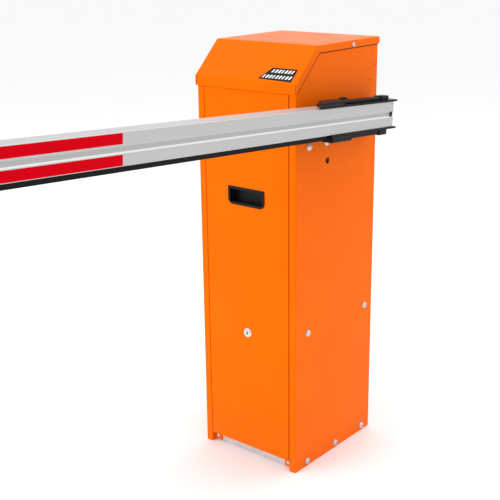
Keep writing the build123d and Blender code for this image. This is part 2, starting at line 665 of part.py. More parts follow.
with BuildPart() as foot_screws:
    for side in (-1, 1):
        seat_point = (side * foot_screw_x, foot_tab_y, BASE_SCREW_Z)
        with Locations(Plane(origin=seat_point, z_dir=(0, -1, 0)).location):
            add(foot_screw)
foot_screws.part.label = "foot_screws"
export_step(foot_screws.part, "parts/foot_screws.step")


# ---------------------------------------------------------------- drive cage
def plate_outline(margin):
    """Corner radius, size and middle of the cage plates' outline, with a margin round the spacers."""
    ys = [y for y, z in spacer_spots]
    zs = [z for y, z in spacer_spots]
    size = (max(ys) - min(ys) + 2 * margin, max(zs) - min(zs) + 2 * margin)
    middle = ((max(ys) + min(ys)) / 2, (max(zs) + min(zs)) / 2)
    return size, middle


plate_size, plate_middle = plate_outline(2 * SPACER_R)
spacer_bolt = hex_bolt(4, 14, 13, 5.3)

# the balance spring winds round the shaft between the inner plate and the spring lever
with BuildPart() as balance_spring:
    with BuildLine() as coil:
        coil_centre = (coil_start, SHAFT_Y, SHAFT_Z)
        coil_pitch = coil_length / SPRING_TURNS
        Helix(coil_pitch, coil_length, SPRING_MEAN_R, center=coil_centre, direction=(1, 0, 0))
    with BuildSketch(Plane(origin=coil.line @ 0, z_dir=coil.line % 0)):
        Circle(SPRING_WIRE_R)
    sweep(is_frenet=True)
    rod(coil.line @ 0, (coil.line % 0) * -1, SPRING_WIRE_R, SPRING_LEG)
    rod(coil.line @ 1, coil.line % 1, SPRING_WIRE_R, SPRING_LEG)
balance_spring.part.label = "balance_spring"
export_step(balance_spring.part, "parts/balance_spring.step")

with BuildPart() as drive_plate:
    with BuildSketch(Plane.YZ.offset(plate_inner)):
        with Locations(plate_middle):
            RectangleRounded(*plate_size, SPACER_R)
        with Locations((SHAFT_Y, SHAFT_Z)):
            Circle(HUB_HOLE_R, mode=Mode.SUBTRACT)
            with PolarLocations(bearing_bolt_radius, 4, 45):
                Circle(4, mode=Mode.SUBTRACT)
        with Locations((pinion_y, pinion_z)):
            Circle(PINION_SHAFT_R + 4, mode=Mode.SUBTRACT)
        with Locations(*drive_screw_spots):
            Circle(SCREW_R, mode=Mode.SUBTRACT)
    extrude(amount=DRIVE_PLATE_THICKNESS)
drive_plate.part.label = "drive_plate"
export_step(drive_plate.part, "parts/drive_plate.step")

with BuildPart() as inner_plate:
    with BuildSketch(Plane.YZ.offset(gearbox_face)):
        with Locations(plate_middle):
            RectangleRounded(*plate_size, SPACER_R)
        with Locations((SHAFT_Y, SHAFT_Z)):
            Circle(HUB_HOLE_R, mode=Mode.SUBTRACT)
            with PolarLocations(bearing_bolt_radius, 4, 45):
                Circle(4, mode=Mode.SUBTRACT)
        with Locations((pinion_y, pinion_z)):
            Circle(PINION_SHAFT_R + 3, mode=Mode.SUBTRACT)
        with Locations(*spacer_spots):
            Circle(4, mode=Mode.SUBTRACT)
    extrude(amount=INNER_PLATE_THICKNESS)
    fixed_peg = spring_peg_place(coil.line @ 0, (coil.line % 0) * -1, 0)
    rod((cage_inner, fixed_peg.Y, fixed_peg.Z), (1, 0, 0), SPRING_PEG_R, 4 * SPRING_WIRE_R)
inner_plate.part.label = "inner_plate"
export_step(inner_plate.part, "parts/inner_plate.step")

with BuildPart() as cage_spacers:
    for y, z in spacer_spots:
        rod((cage_inner, y, z), (1, 0, 0), SPACER_R, PLATE_SPAN)
        rod((cage_inner, y, z), (1, 0, 0), 4, 14, mode=Mode.SUBTRACT)
cage_spacers.part.label = "cage_spacers"
export_step(cage_spacers.part, "parts/cage_spacers.step")

with BuildPart() as spacer_bolts:
    for y, z in spacer_spots:
        with Locations(Plane(origin=(gearbox_face, y, z), z_dir=(-1, 0, 0)).location):
            add(spacer_bolt)
spacer_bolts.part.label = "spacer_bolts"
export_step(spacer_bolts.part, "parts/spacer_bolts.step")

# each bearing housing: its mounting face, and the way its boss points
housing_flange = 8.0
housing_length = BEARING_WIDTH + 4
housings = ((plate_inner, -1, "outer_bearing_housing"), (gearbox_face, -1, "inner_bearing_housing"))
for face_x, way, housing_name in housings:
    with BuildPart() as housing:
        rod((face_x, SHAFT_Y, SHAFT_Z), (way, 0, 0), HOUSING_R, housing_flange)
        rod((face_x, SHAFT_Y, SHAFT_Z), (way, 0, 0), HOUSING_BOSS_R, housing_length)
        fillet(housing.edges().filter_by(GeomType.CIRCLE).sort_by(SortBy.RADIUS)[-2:], 1.2)
        rod((face_x, SHAFT_Y, SHAFT_Z), (way, 0, 0), BEARING_R, housing_length, mode=Mode.SUBTRACT)
        for corner in range(4):
            turn = math.radians(45 + 90 * corner)
            bolt_y = SHAFT_Y + bearing_bolt_radius * math.cos(turn)
            bolt_z = SHAFT_Z + bearing_bolt_radius * math.sin(turn)
            rod((face_x, bolt_y, bolt_z), (way, 0, 0), 4, housing_length, mode=Mode.SUBTRACT)
    housing.part.label = housing_name
    export_step(housing.part, f"parts/{housing_name}.step")

bearings = ((plate_inner, "outer_bearing"), (gearbox_face, "inner_bearing"))
for face_x, bearing_name in bearings:
    with BuildPart() as bearing:
        rod((face_x - 2, SHAFT_Y, SHAFT_Z), (-1, 0, 0), BEARING_R, BEARING_WIDTH)
        bore_r = SHAFT_R + RUNNING_CLEARANCE
        rod((face_x, SHAFT_Y, SHAFT_Z), (-1, 0, 0), bore_r, housing_length + 2, mode=Mode.SUBTRACT)
        for end_x in (face_x - 2, face_x - 2 - BEARING_WIDTH + 1.5):
            with BuildSketch(Plane.YZ.offset(end_x - 1.5)):
                with Locations((SHAFT_Y, SHAFT_Z)):
                    Circle(BEARING_R - 4)
                    Circle(SHAFT_R + 5, mode=Mode.SUBTRACT)
            extrude(amount=1.5, mode=Mode.SUBTRACT)
    bearing.part.label = bearing_name
    export_step(bearing.part, f"parts/{bearing_name}.step")

bearing_bolt = hex_bolt(4, housing_flange + 4.5, 13, 5.3)
with BuildPart() as bearing_bolts:
    for face_x in (plate_inner, gearbox_face):
        for corner in range(4):
            turn = math.radians(45 + 90 * corner)
            bolt_y = SHAFT_Y + bearing_bolt_radius * math.cos(turn)
            bolt_z = SHAFT_Z + bearing_bolt_radius * math.sin(turn)
            bolt_seat = (face_x - housing_flange, bolt_y, bolt_z)
            with Locations(Plane(origin=bolt_seat, z_dir=(-1, 0, 0)).location):
                add(bearing_bolt)
bearing_bolts.part.label = "bearing_bolts"
export_step(bearing_bolts.part, "parts/bearing_bolts.step")

# ---------------------------------------------------------------- gearmotor
gearbox_back = gearbox_face - GEARBOX_LENGTH
motor_x = gearbox_back + MOTOR_R
gearbox_bottom = pinion_z - GEARBOX_HALF
pinion_bore_r = PINION_SHAFT_R + RUNNING_CLEARANCE

with BuildPart() as gearbox_housing:
    slab(
        (gearbox_back, gearbox_face),
        (pinion_y - GEARBOX_HALF, pinion_y + GEARBOX_HALF),
        (gearbox_bottom, pinion_z + GEARBOX_HALF),
    )
    fillet(gearbox_housing.edges().filter_by(Axis.X), 10)
    fillet(gearbox_housing.faces().sort_by(Axis.X)[0].edges(), 4)
    bore_start = (gearbox_back + 8, pinion_y, pinion_z)
    rod(bore_start, (1, 0, 0), pinion_bore_r, GEARBOX_LENGTH, mode=Mode.SUBTRACT)
gearbox_housing.part.label = "gearbox_housing"
export_step(gearbox_housing.part, "parts/gearbox_housing.step")

with BuildPart() as motor_housing:
    rod((motor_x, pinion_y, gearbox_bottom), (0, 0, -1), MOTOR_R - 3, MOTOR_LENGTH)
    for fin in range(20):
        fin_turn = 360 * fin / 20
        fin_start = (motor_x, pinion_y, gearbox_bottom - MOTOR_LENGTH + 12)
        fin_frame = Plane(origin=fin_start).rotated((0, 0, fin_turn))
        with Locations(fin_frame.location):
            Box(MOTOR_R, 2.4, MOTOR_LENGTH - 24, align=(Align.MIN, Align.CENTER, Align.MIN))
motor_housing.part.label = "motor_housing"
export_step(motor_housing.part, "parts/motor_housing.step")

with BuildPart() as motor_cover:
    rod((motor_x, pinion_y, gearbox_bottom - MOTOR_LENGTH), (0, 0, -1), MOTOR_R - 1, 14)
    fillet(motor_cover.faces().sort_by(Axis.Z)[0].edges(), 5)
motor_cover.part.label = "motor_cover"
export_step(motor_cover.part, "parts/motor_cover.step")

with BuildPart() as drive_pinion:
    pinion_turn = mesh_angle + 180 + 180 / PINION_TEETH
    pinion_points = gear_points(PINION_TEETH, 0, PINION_TEETH, pinion_turn, BACKLASH)
    with BuildSketch(Plane(origin=(gear_x, pinion_y, pinion_z), x_dir=(0, 1, 0), z_dir=(1, 0, 0))):
        with BuildLine():
            Polyline(*pinion_points, close=True)
        make_face()
    extrude(amount=GEAR_WIDTH)
    spindle_start = gearbox_back + 10
    spindle_length = plate_outer - 2 - spindle_start
    rod((spindle_start, pinion_y, pinion_z), (1, 0, 0), PINION_SHAFT_R, spindle_length)
    socket_plane = Plane(origin=(plate_outer - 2, pinion_y, pinion_z), x_dir=(0, 1, 0), z_dir=(1, 0, 0))
    with BuildSketch(socket_plane):
        RegularPolygon(RELEASE_HEX / 2, 6, major_radius=False)
    extrude(amount=-14, mode=Mode.SUBTRACT)
drive_pinion.part.label = "drive_pinion"
export_step(drive_pinion.part, "parts/drive_pinion.step")

with BuildPart() as pinion_bush:
    rod((plate_inner - 3, pinion_y, pinion_z), (1, 0, 0), PINION_SHAFT_R + 7, 3)
    rod((plate_inner - 3, pinion_y, pinion_z), (1, 0, 0), PINION_SHAFT_R + 4, DRIVE_PLATE_THICKNESS + 2)
    rod((plate_inner - 4, pinion_y, pinion_z), (1, 0, 0), pinion_bore_r, 20, mode=Mode.SUBTRACT)
pinion_bush.part.label = "pinion_bush"
export_step(pinion_bush.part, "parts/pinion_bush.step")

# ---------------------------------------------------------------- main shaft and what it carries
shaft_start = gearbox_face - housing_length - 22
with BuildPart() as main_shaft:
    rod((shaft_start, SHAFT_Y, SHAFT_Z), (1, 0, 0), SHAFT_R, hub_face - shaft_start)
    chamfer(main_shaft.faces().sort_by(Axis.X)[0].edges(), 1)
main_shaft.part.label = "main_shaft"
export_step(main_shaft.part, "parts/main_shaft.step")

sector_root = GEAR_MODULE * SECTOR_TEETH / 2 - 1.15 * GEAR_MODULE
tooth_pitch = 360 / SECTOR_TEETH
sector_first = round((SWING_CLOSED - 14) / tooth_pitch)
sector_count = round(SECTOR_SPAN / tooth_pitch)
sector_low = mesh_angle + (sector_first - 0.5) * tooth_pitch
sector_high = sector_low + sector_count * tooth_pitch
with BuildPart() as sector_gear:
    sector_plane = Plane(origin=(gear_x, SHAFT_Y, SHAFT_Z), x_dir=(0, 1, 0), z_dir=(1, 0, 0))
    with BuildSketch(sector_plane):
        with BuildLine():
            teeth = gear_points(SECTOR_TEETH, sector_first, sector_count, mesh_angle, BACKLASH)
            start = on_circle(sector_root, sector_low)
            end = on_circle(sector_root, sector_high)
            Polyline((0, 0), start, *teeth, end, close=True)
        make_face()
        Circle(28)
        Circle(SHAFT_R, mode=Mode.SUBTRACT)
        for spoke in (0.22, 0.5, 0.78):
            with PolarLocations(50, 1, sector_low + spoke * (sector_high - sector_low)):
                Circle(11, mode=Mode.SUBTRACT)
    extrude(amount=GEAR_WIDTH)
sector_gear.part.label = "sector_gear"
export_step(sector_gear.part, "parts/sector_gear.step")

# the lever's peg stands outside the moving leg, which pushes it the way that lifts the boom
leg_middle = spring_peg_place(coil.line @ 1, coil.line % 1, SPRING_PEG_GAP)
lever_turn = math.degrees(math.atan2(leg_middle.Z - SHAFT_Z, leg_middle.Y - SHAFT_Y))
lever_reach = math.hypot(leg_middle.Z - SHAFT_Z, leg_middle.Y - SHAFT_Y) + 2 * SPRING_PEG_R
with BuildPart() as spring_lever:
    lever_plane = Plane(origin=(lever_x, SHAFT_Y, SHAFT_Z), x_dir=(0, 1, 0), z_dir=(1, 0, 0))
    with BuildSketch(lever_plane):
        Circle(27)
        with PolarLocations(lever_reach / 2, 1, lever_turn):
            RectangleRounded(lever_reach, 22, 6)
        Circle(SHAFT_R, mode=Mode.SUBTRACT)
    extrude(amount=12)
    rod((lever_x, leg_middle.Y, leg_middle.Z), (-1, 0, 0), SPRING_PEG_R, 5 * SPRING_WIRE_R)
spring_lever.part.label = "spring_lever"
export_step(spring_lever.part, "parts/spring_lever.step")

with BuildPart() as sensor_flag:
    flag_x = shaft_start + 4
    flag_plane = Plane(origin=(flag_x, SHAFT_Y, SHAFT_Z), x_dir=(0, 1, 0), z_dir=(1, 0, 0))
    with BuildSketch(flag_plane):
        Circle(25)
        with BuildLine():
            flag_r = 42
            corners = [on_circle(flag_r, angle) for angle in (20, 35, 50, 65, 80)]
            Polyline((0, 0), *corners, close=True)
        make_face()
        Circle(SHAFT_R, mode=Mode.SUBTRACT)
    extrude(amount=5)
sensor_flag.part.label = "sensor_flag"
export_step(sensor_flag.part, "parts/sensor_flag.step")

sensor_angles = (84.0, -4.0)
sensor_tip_r = flag_r + 2.5
with BuildPart() as limit_sensors:
    for angle in sensor_angles:
        way = (0, math.cos(math.radians(angle)), math.sin(math.radians(angle)))
        tip = (flag_x + 2.5, SHAFT_Y + sensor_tip_r * way[1], SHAFT_Z + sensor_tip_r * way[2])
        rod(tip, way, 6, 38)
limit_sensors.part.label = "limit_sensors"
export_step(limit_sensors.part, "parts/limit_sensors.step")

with BuildPart() as sensor_bracket:
    bracket_y = SHAFT_Y + sensor_tip_r + 12
    bracket_z = SHAFT_Z + sensor_tip_r + 12
    slab((flag_x - 6, gearbox_face), (bracket_y, bracket_y + 4), (SHAFT_Z - 26, bracket_z + 4))
    slab((flag_x - 6, gearbox_face), (SHAFT_Y - 12, bracket_y + 4), (bracket_z, bracket_z + 4))
    for angle in sensor_angles:
        way = (0, math.cos(math.radians(angle)), math.sin(math.radians(angle)))
        rod((flag_x + 2.5, SHAFT_Y, SHAFT_Z), way, 6, 100, mode=Mode.SUBTRACT)
sensor_bracket.part.label = "sensor_bracket"
export_step(sensor_bracket.part, "parts/sensor_bracket.step")

# ---------------------------------------------------------------- end stops for the sector gear
stop_r = 66.0
bumper_length = 13.0
stop_gap = 0.5
stops = ((sector_low - SWING_OPEN, -1), (sector_high - SWING_CLOSED, 1))
stop_frames = []
for angle, way in stops:
    radial = (0, math.cos(math.radians(angle)), math.sin(math.radians(angle)))
    along_turn = (0, -way * radial[2], way * radial[1])
    middle = (gear_x + GEAR_WIDTH / 2, SHAFT_Y + stop_r * radial[1], SHAFT_Z + stop_r * radial[2])
    stop_frames.append(Plane(origin=middle, x_dir=(1, 0, 0), z_dir=along_turn))

with BuildPart() as stop_bumpers:
    for frame in stop_frames:
        with Locations(frame.offset(stop_gap).location):
            Cylinder(9, bumper_length, align=flat)
    fillet(stop_bumpers.edges().filter_by(GeomType.CIRCLE), 1.5)
stop_bumpers.part.label = "stop_bumpers"
export_step(stop_bumpers.part, "parts/stop_bumpers.step")

with BuildPart() as stop_brackets:
    for frame in stop_frames:
        reach = plate_inner - gear_x - GEAR_WIDTH / 2
        with BuildSketch(frame.offset(stop_gap + bumper_length)):
            with Locations(((reach - 11) / 2, 0)):
                Rectangle(reach + 11, 22)
        extrude(amount=6)
stop_brackets.part.label = "stop_brackets"
export_step(stop_brackets.part, "parts/stop_brackets.step")

# ---------------------------------------------------------------- hub and boom holder
with BuildPart() as shaft_escutcheon:
    rod((half_width, SHAFT_Y, SHAFT_Z), (1, 0, 0), ESCUTCHEON_R, 6)
    chamfer(shaft_escutcheon.faces().sort_by(Axis.X)[-1].edges(), 2)
    rod((half_width, SHAFT_Y, SHAFT_Z), (1, 0, 0), HUB_HOLE_R, 6, mode=Mode.SUBTRACT)
shaft_escutcheon.part.label = "shaft_escutcheon"
export_step(shaft_escutcheon.part, "parts/shaft_escutcheon.step")

with BuildPart() as hub_flange:
    flange_x = hub_face - HUB_FLANGE_THICKNESS
    rod((flange_x, SHAFT_Y, SHAFT_Z), (1, 0, 0), HUB_FLANGE_R, HUB_FLANGE_THICKNESS)
    chamfer(hub_flange.faces().sort_by(Axis.X)[0].edges(), 1.5)
    rod((half_width + 1, SHAFT_Y, SHAFT_Z), (1, 0, 0), SHAFT_R + 5, flange_x - half_width - 1)
    rod((half_width, SHAFT_Y, SHAFT_Z), (1, 0, 0), SHAFT_R, HUB_GAP, mode=Mode.SUBTRACT)
hub_flange.part.label = "hub_flange"
export_step(hub_flange.part, "parts/hub_flange.step")

holder_outer = boom_outer + HOLDER_LIP
with BuildSketch() as front_cut_sketch:
    with BuildLine():
        Polyline(
            (hub_face - 1, HOLDER_FRONT - HOLDER_FRONT_CUT),
            (holder_outer + CLAMP_HEAD_CHAMFER + 1, HOLDER_FRONT + 1),
            (hub_face - 1, HOLDER_FRONT + 1),
            close=True,
        )
    make_face()
front_cut = front_cut_sketch.sketch
with BuildPart() as boom_holder:
    with BuildSketch(across_boom.offset(-HOLDER_REAR)):
        wall_height = BOOM_HEIGHT + 2 * HOLDER_SHEET
        with Locations((hub_face + HOLDER_SHEET / 2, 0)):
            Rectangle(HOLDER_SHEET, wall_height)
        with Locations(((hub_face + holder_outer) / 2, half_boom + HOLDER_SHEET / 2)):
            Rectangle(holder_outer - hub_face, HOLDER_SHEET)
        with Locations(((hub_face + holder_outer) / 2, -half_boom - HOLDER_SHEET / 2)):
            Rectangle(holder_outer - hub_face, HOLDER_SHEET)
    extrude(amount=HOLDER_REAR + HOLDER_FRONT)
    with BuildSketch(across_boom.offset(HOLDER_LOWER_FRONT)):
        with Locations(((hub_face + holder_outer) / 2 + 1, -half_boom - HOLDER_SHEET)):
            Rectangle(holder_outer - hub_face + 4, 2 * HOLDER_SHEET)
    extrude(amount=HOLDER_FRONT, mode=Mode.SUBTRACT)
    with BuildSketch(through_boom):
        add(front_cut)
    extrude(amount=BOOM_HEIGHT, both=True, mode=Mode.SUBTRACT)
boom_holder.part.label = "boom_holder"
export_step(boom_holder.part, "parts/boom_holder.step")

end_bolt_r = 2.5
bar_middle = boom_outer - 13
# clamp bars outside the holder's flanges:
# start of the thick head, front end, bar height, head height, side (+1 above)
bars = (
    ("upper_clamp_bar", HOLDER_FRONT - 87, HOLDER_FRONT, 8.0, 11.0, 1),
    ("lower_clamp_bar", HOLDER_LOWER_FRONT - 71, HOLDER_LOWER_FRONT, 11.0, 12.0, -1),
)
for bar_name, head_start, front, bar_height, head_height, way in bars:
    with BuildPart() as bar:
        seat = way * (half_boom + HOLDER_SHEET)
        top = seat + way * head_height
        slope = way * CLAMP_HEAD_CHAMFER
        head_inner = boom_outer - 22
        head_outer = holder_outer + CLAMP_HEAD_CHAMFER
        with BuildSketch(across_boom.offset(-CLAMP_BAR_REAR)):
            with Locations((bar_middle, seat + way * bar_height / 2)):
                RectangleRounded(CLAMP_BAR_WIDTH, bar_height, 2.5)
        extrude(amount=head_start + CLAMP_BAR_REAR)
        with BuildSketch(across_boom.offset(-CLAMP_BAR_REAR)):
            with Locations((bar_middle, seat + way * (bar_height + 2) / 2)):
                RectangleRounded(CLAMP_BAR_WIDTH + 4, bar_height + 2, 2)
        extrude(amount=CLAMP_LUG_LENGTH)
        with BuildSketch(across_boom.offset(head_start)):
            with BuildLine():
                Polyline(
                    (head_inner, seat),
                    (holder_outer, seat),
                    (head_outer, seat + slope),
                    (head_outer, top - slope / 2),
                    (head_outer - CLAMP_HEAD_CHAMFER / 2, top),
                    (head_inner, top),
                    close=True,
                )
            make_face()
        extrude(amount=front - head_start)
        with BuildSketch(through_boom):
            add(front_cut)
        extrude(amount=BOOM_HEIGHT, both=True, mode=Mode.SUBTRACT)
        bolt_start = boom_point(bar_middle, seat + way * bar_height / 2, -CLAMP_BAR_REAR)
        rod(bolt_start, across_boom.z_dir, end_bolt_r, 12, mode=Mode.SUBTRACT)
    bar.part.label = bar_name
    export_step(bar.part, f"parts/{bar_name}.step")

end_bolt = hex_bolt(end_bolt_r, 12, 6.5, 4)
with BuildPart() as clamp_bar_bolts:
    for bar_name, head_start, front, bar_height, head_height, way in bars:
        seat = way * (half_boom + HOLDER_SHEET + bar_height / 2)
        bolt_start = boom_point(bar_middle, seat, -CLAMP_BAR_REAR)
        with Locations(Plane(origin=bolt_start, z_dir=-across_boom.z_dir).location):
            add(end_bolt)
clamp_bar_bolts.part.label = "clamp_bar_bolts"
export_step(clamp_bar_bolts.part, "parts/clamp_bar_bolts.step")

# ---------------------------------------------------------------- boom
cavity_width = BOOM_DEPTH - 2 * (BOOM_WALL + BOOM_GROOVE_DEPTH)
cavity_height = BOOM_HEIGHT - 2 * BOOM_WALL - BOOM_FOOT
cavity_mid = BOOM_FOOT / 2
with BuildPart() as boom_profile:
    with BuildSketch(across_boom.offset(-BOOM_REAR)):
        with Locations((boom_mid, 0)):
            RectangleRounded(BOOM_DEPTH, BOOM_HEIGHT, 1.5)
        for face_x, out in ((boom_inner, -1), (boom_outer, 1)):
            groove_floor = face_x - out * BOOM_GROOVE_DEPTH
            with BuildLine():
                Polyline(
                    (face_x + out, BOOM_GROOVE_TOP),
                    (face_x, BOOM_GROOVE_TOP),
                    (groove_floor, BOOM_GROOVE_FLOOR_TOP),
                    (groove_floor, BOOM_GROOVE_FLOOR_BOTTOM),
                    (face_x, BOOM_GROOVE_BOTTOM),
                    (face_x + out, BOOM_GROOVE_BOTTOM),
                    close=True,
                )
            make_face(mode=Mode.SUBTRACT)
        with Locations((boom_mid, cavity_mid)):
            Rectangle(cavity_width, cavity_height, mode=Mode.SUBTRACT)
        with Locations((boom_mid, -half_boom)):
            Rectangle(BOOM_DEPTH - 8, 2 * BOOM_FOOT, mode=Mode.SUBTRACT)
    extrude(amount=BOOM_LENGTH)
    # the two slots of the end plug's catch, near the rear end
    for slot_start, slot_length in ((2, BOOM_END_SLOT), (BOOM_END_SLOT + 6, 2)):
        with BuildSketch(across_boom.offset(-BOOM_REAR + slot_start)):
            with Locations((boom_outer, 0)):
                Rectangle(2 * (BOOM_WALL + BOOM_GROOVE_DEPTH), BOOM_END_SLOT)
        extrude(amount=slot_length, mode=Mode.SUBTRACT)
boom_profile.part.label = "boom_profile"
export_step(boom_profile.part, "parts/boom_profile.step")

with BuildPart() as boom_end_plug:
    with BuildSketch(across_boom.offset(-BOOM_REAR + 1)):
        with Locations((boom_mid, cavity_mid)):
            Rectangle(cavity_width, cavity_height)
    extrude(amount=24)
boom_end_plug.part.label = "boom_end_plug"
export_step(boom_end_plug.part, "parts/boom_end_plug.step")

with BuildPart() as boom_tip_cap:
    cap_wall = 2.0
    with BuildSketch(across_boom.offset(boom_tip)):
        with Locations((boom_mid, 0)):
            RectangleRounded(BOOM_DEPTH + 2 * cap_wall, BOOM_HEIGHT + 2 * cap_wall, 3)
    extrude(amount=3)
    with BuildSketch(across_boom.offset(boom_tip)):
        with Locations((boom_mid, cavity_mid)):
            Rectangle(cavity_width, cavity_height)
    extrude(amount=-26)
boom_tip_cap.part.label = "boom_tip_cap"
export_step(boom_tip_cap.part, "parts/boom_tip_cap.step")

with BuildPart() as boom_rubber:
    rubber_start = HOLDER_LOWER_FRONT + 8
    with BuildSketch(across_boom.offset(rubber_start)):
        rubber_top = -half_boom + BOOM_FOOT
        with Locations((boom_mid, rubber_top - (BOOM_FOOT + RUBBER_DROP) / 2)):
            Rectangle(BOOM_DEPTH - 8, BOOM_FOOT + RUBBER_DROP)
        with Locations((boom_mid, rubber_top - (BOOM_FOOT + RUBBER_DROP) / 2 - 1)):
            Rectangle(BOOM_DEPTH - 14, RUBBER_DROP - 2, mode=Mode.SUBTRACT)
    extrude(amount=boom_tip - rubber_start - 1)
boom_rubber.part.label = "boom_rubber"
export_step(boom_rubber.part, "parts/boom_rubber.step")

with BuildPart() as boom_strips:
    strip_count = int((boom_tip - STRIP_START) // STRIP_PITCH) + 1
    for strip in range(strip_count):
        start = STRIP_START + strip * STRIP_PITCH
        length = min(STRIP_LENGTH, boom_tip - 10 - start)
        for face_x, out in ((boom_inner, -1), (boom_outer, 1)):
            for middle in (-half_boom + 1.6 + STRIP_HEIGHT / 2, half_boom - 1.6 - STRIP_HEIGHT / 2):
                with BuildSketch(across_boom.offset(start)):
                    with Locations((face_x + out * STRIP_THICKNESS / 2, middle)):
                        Rectangle(STRIP_THICKNESS, STRIP_HEIGHT)
                extrude(amount=length)
boom_strips.part.label = "boom_strips"
export_step(boom_strips.part, "parts/boom_strips.step")

# ---------------------------------------------------------------- electrical parts
box_front = -100.0
box_depth = 120.0
box_half = 95.0
box_height = 140.0
box_wall = 3.0
box_ends = ((-box_half, box_half), (box_front, box_front + box_depth), (SHELF_Z, SHELF_Z + box_height))
with BuildPart() as control_box:
    slab(*box_ends)
    slab(
        (-box_half + box_wall, box_half - box_wall),
        (box_front, box_front + box_depth - box_wall),
        (SHELF_Z + box_wall, SHELF_Z + box_height - box_wall),
        mode=Mode.SUBTRACT,
    )
control_box.part.label = "control_box"
export_step(control_box.part, "parts/control_box.step")

with BuildPart() as control_box_lid:
    slab((-box_half, box_half), (box_front - 4, box_front), (SHELF_Z, SHELF_Z + box_height))
    fillet(control_box_lid.edges().filter_by(Axis.Y), 4)
control_box_lid.part.label = "control_box_lid"
export_step(control_box_lid.part, "parts/control_box_lid.step")

with BuildPart() as control_board:
    board_y = box_front + box_depth - box_wall - 12
    slab((-75, 75), (board_y, board_y + 1.6), (SHELF_Z + 20, SHELF_Z + 120))
    for x in (-65, 65):
        for z in (SHELF_Z + 30, SHELF_Z + 110):
            rod((x, board_y, z), (0, 1, 0), 3.5, 12)
    # transformer, terminal row, capacitors and heat sink: x, height, then width, height and depth
    blocks = ((-45, 45, 40, 22, 18), (20, 40, 50, 14, 12), (35, 90, 24, 30, 25), (-30, 90, 30, 30, 8))
    for x, up, width, height, depth in blocks:
        with Locations((x, board_y - depth / 2, SHELF_Z + up)):
            Box(width, depth, height)
control_board.part.label = "control_board"
export_step(control_board.part, "parts/control_board.step")

rail_z = 250.0
rail_depth = 7.5
rail_face = flange_y - rail_depth
with BuildPart() as din_rail:
    slab((-80, 80), (flange_y - 1, flange_y), (rail_z - 12.5, rail_z + 12.5))
    for way in (-1, 1):
        slab((-80, 80), (rail_face, flange_y), (rail_z + way * 11.5, rail_z + way * 12.5))
        slab((-80, 80), (rail_face, rail_face + 1), (rail_z + way * 12.5, rail_z + way * 17.5))
din_rail.part.label = "din_rail"
export_step(din_rail.part, "parts/din_rail.step")

breaker_front = rail_face - 62
toggle_y = breaker_front + 6
with BuildPart() as circuit_breaker:
    slab((-70, -34), (breaker_front + 16, rail_face), (rail_z - 42, rail_z + 42))
    slab((-70, -34), (breaker_front, rail_face), (rail_z - 23, rail_z + 23))
    slot_depth = (breaker_front - 1, breaker_front + 14)
    slab((-60, -44), slot_depth, (rail_z - 16, rail_z + 16), mode=Mode.SUBTRACT)
circuit_breaker.part.label = "circuit_breaker"
export_step(circuit_breaker.part, "parts/circuit_breaker.step")

with BuildPart() as breaker_toggle:
    rod((-59.5, toggle_y, rail_z), (1, 0, 0), 5, 15)
    toggle_way = (0, -math.cos(0.7), math.sin(0.7))
    toggle_frame = Plane(origin=(-52, toggle_y, rail_z), x_dir=(1, 0, 0), z_dir=toggle_way)
    with Locations(toggle_frame.location):
        Box(13, 4.5, 17, align=flat)
breaker_toggle.part.label = "breaker_toggle"
export_step(breaker_toggle.part, "parts/breaker_toggle.step")

with BuildPart() as terminal_block:
    for pole in range(8):
        pole_x = 8 * pole
        slab((pole_x, pole_x + 7.4), (rail_face - 34, rail_face), (rail_z - 24, rail_z + 24))
        rod((pole_x + 3.7, rail_face - 34, rail_z + 14), (0, 1, 0), 2.4, 8, mode=Mode.SUBTRACT)
        rod((pole_x + 3.7, rail_face - 34, rail_z - 14), (0, 1, 0), 2.4, 8, mode=Mode.SUBTRACT)
terminal_block.part.label = "terminal_block"
export_step(terminal_block.part, "parts/terminal_block.step")
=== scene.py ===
"""Parking barrier gate with an orange sheet steel cabinet and a swinging aluminium boom.

A gearmotor in the cabinet turns a shaft, and the boom is clamped to the shaft's end.  Each class
below holds the sizes of one sub-assembly, builds its meshes and gives them their finish.
"""

from __future__ import annotations

import logging
import math
from dataclasses import dataclass
from enum import Enum

import bmesh
import bpy
from mathutils import Matrix, Vector


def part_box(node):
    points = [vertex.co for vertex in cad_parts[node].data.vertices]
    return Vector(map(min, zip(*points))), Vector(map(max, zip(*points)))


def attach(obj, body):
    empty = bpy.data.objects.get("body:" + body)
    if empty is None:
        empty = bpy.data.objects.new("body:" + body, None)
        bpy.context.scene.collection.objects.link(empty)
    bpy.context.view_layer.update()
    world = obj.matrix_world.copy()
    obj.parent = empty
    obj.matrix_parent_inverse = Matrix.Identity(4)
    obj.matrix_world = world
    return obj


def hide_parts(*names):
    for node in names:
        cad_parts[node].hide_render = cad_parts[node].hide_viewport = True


LOG = logging.getLogger("barrier_gate")
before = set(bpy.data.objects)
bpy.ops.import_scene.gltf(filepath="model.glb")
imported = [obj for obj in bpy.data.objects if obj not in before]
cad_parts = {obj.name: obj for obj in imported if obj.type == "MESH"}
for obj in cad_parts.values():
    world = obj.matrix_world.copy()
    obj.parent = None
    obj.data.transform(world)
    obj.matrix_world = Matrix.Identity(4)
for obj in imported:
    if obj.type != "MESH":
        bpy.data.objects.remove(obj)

BOOM_TILT = math.radians(4.0)
SHAFT_Y = 0.012
SHAFT_Z = 0.8385


class Body(Enum):
    """The bodies that the pieces ride on."""

    CABINET = "cabinet"
    DOOR = "door"
    LOCK = "lock"
    BOOM = "boom"
    PINION = "pinion"
    TOGGLE = "toggle"


class Ink(Enum):
    """The inks of the badge."""

    DARK = "dark"
    LIGHT = "light"


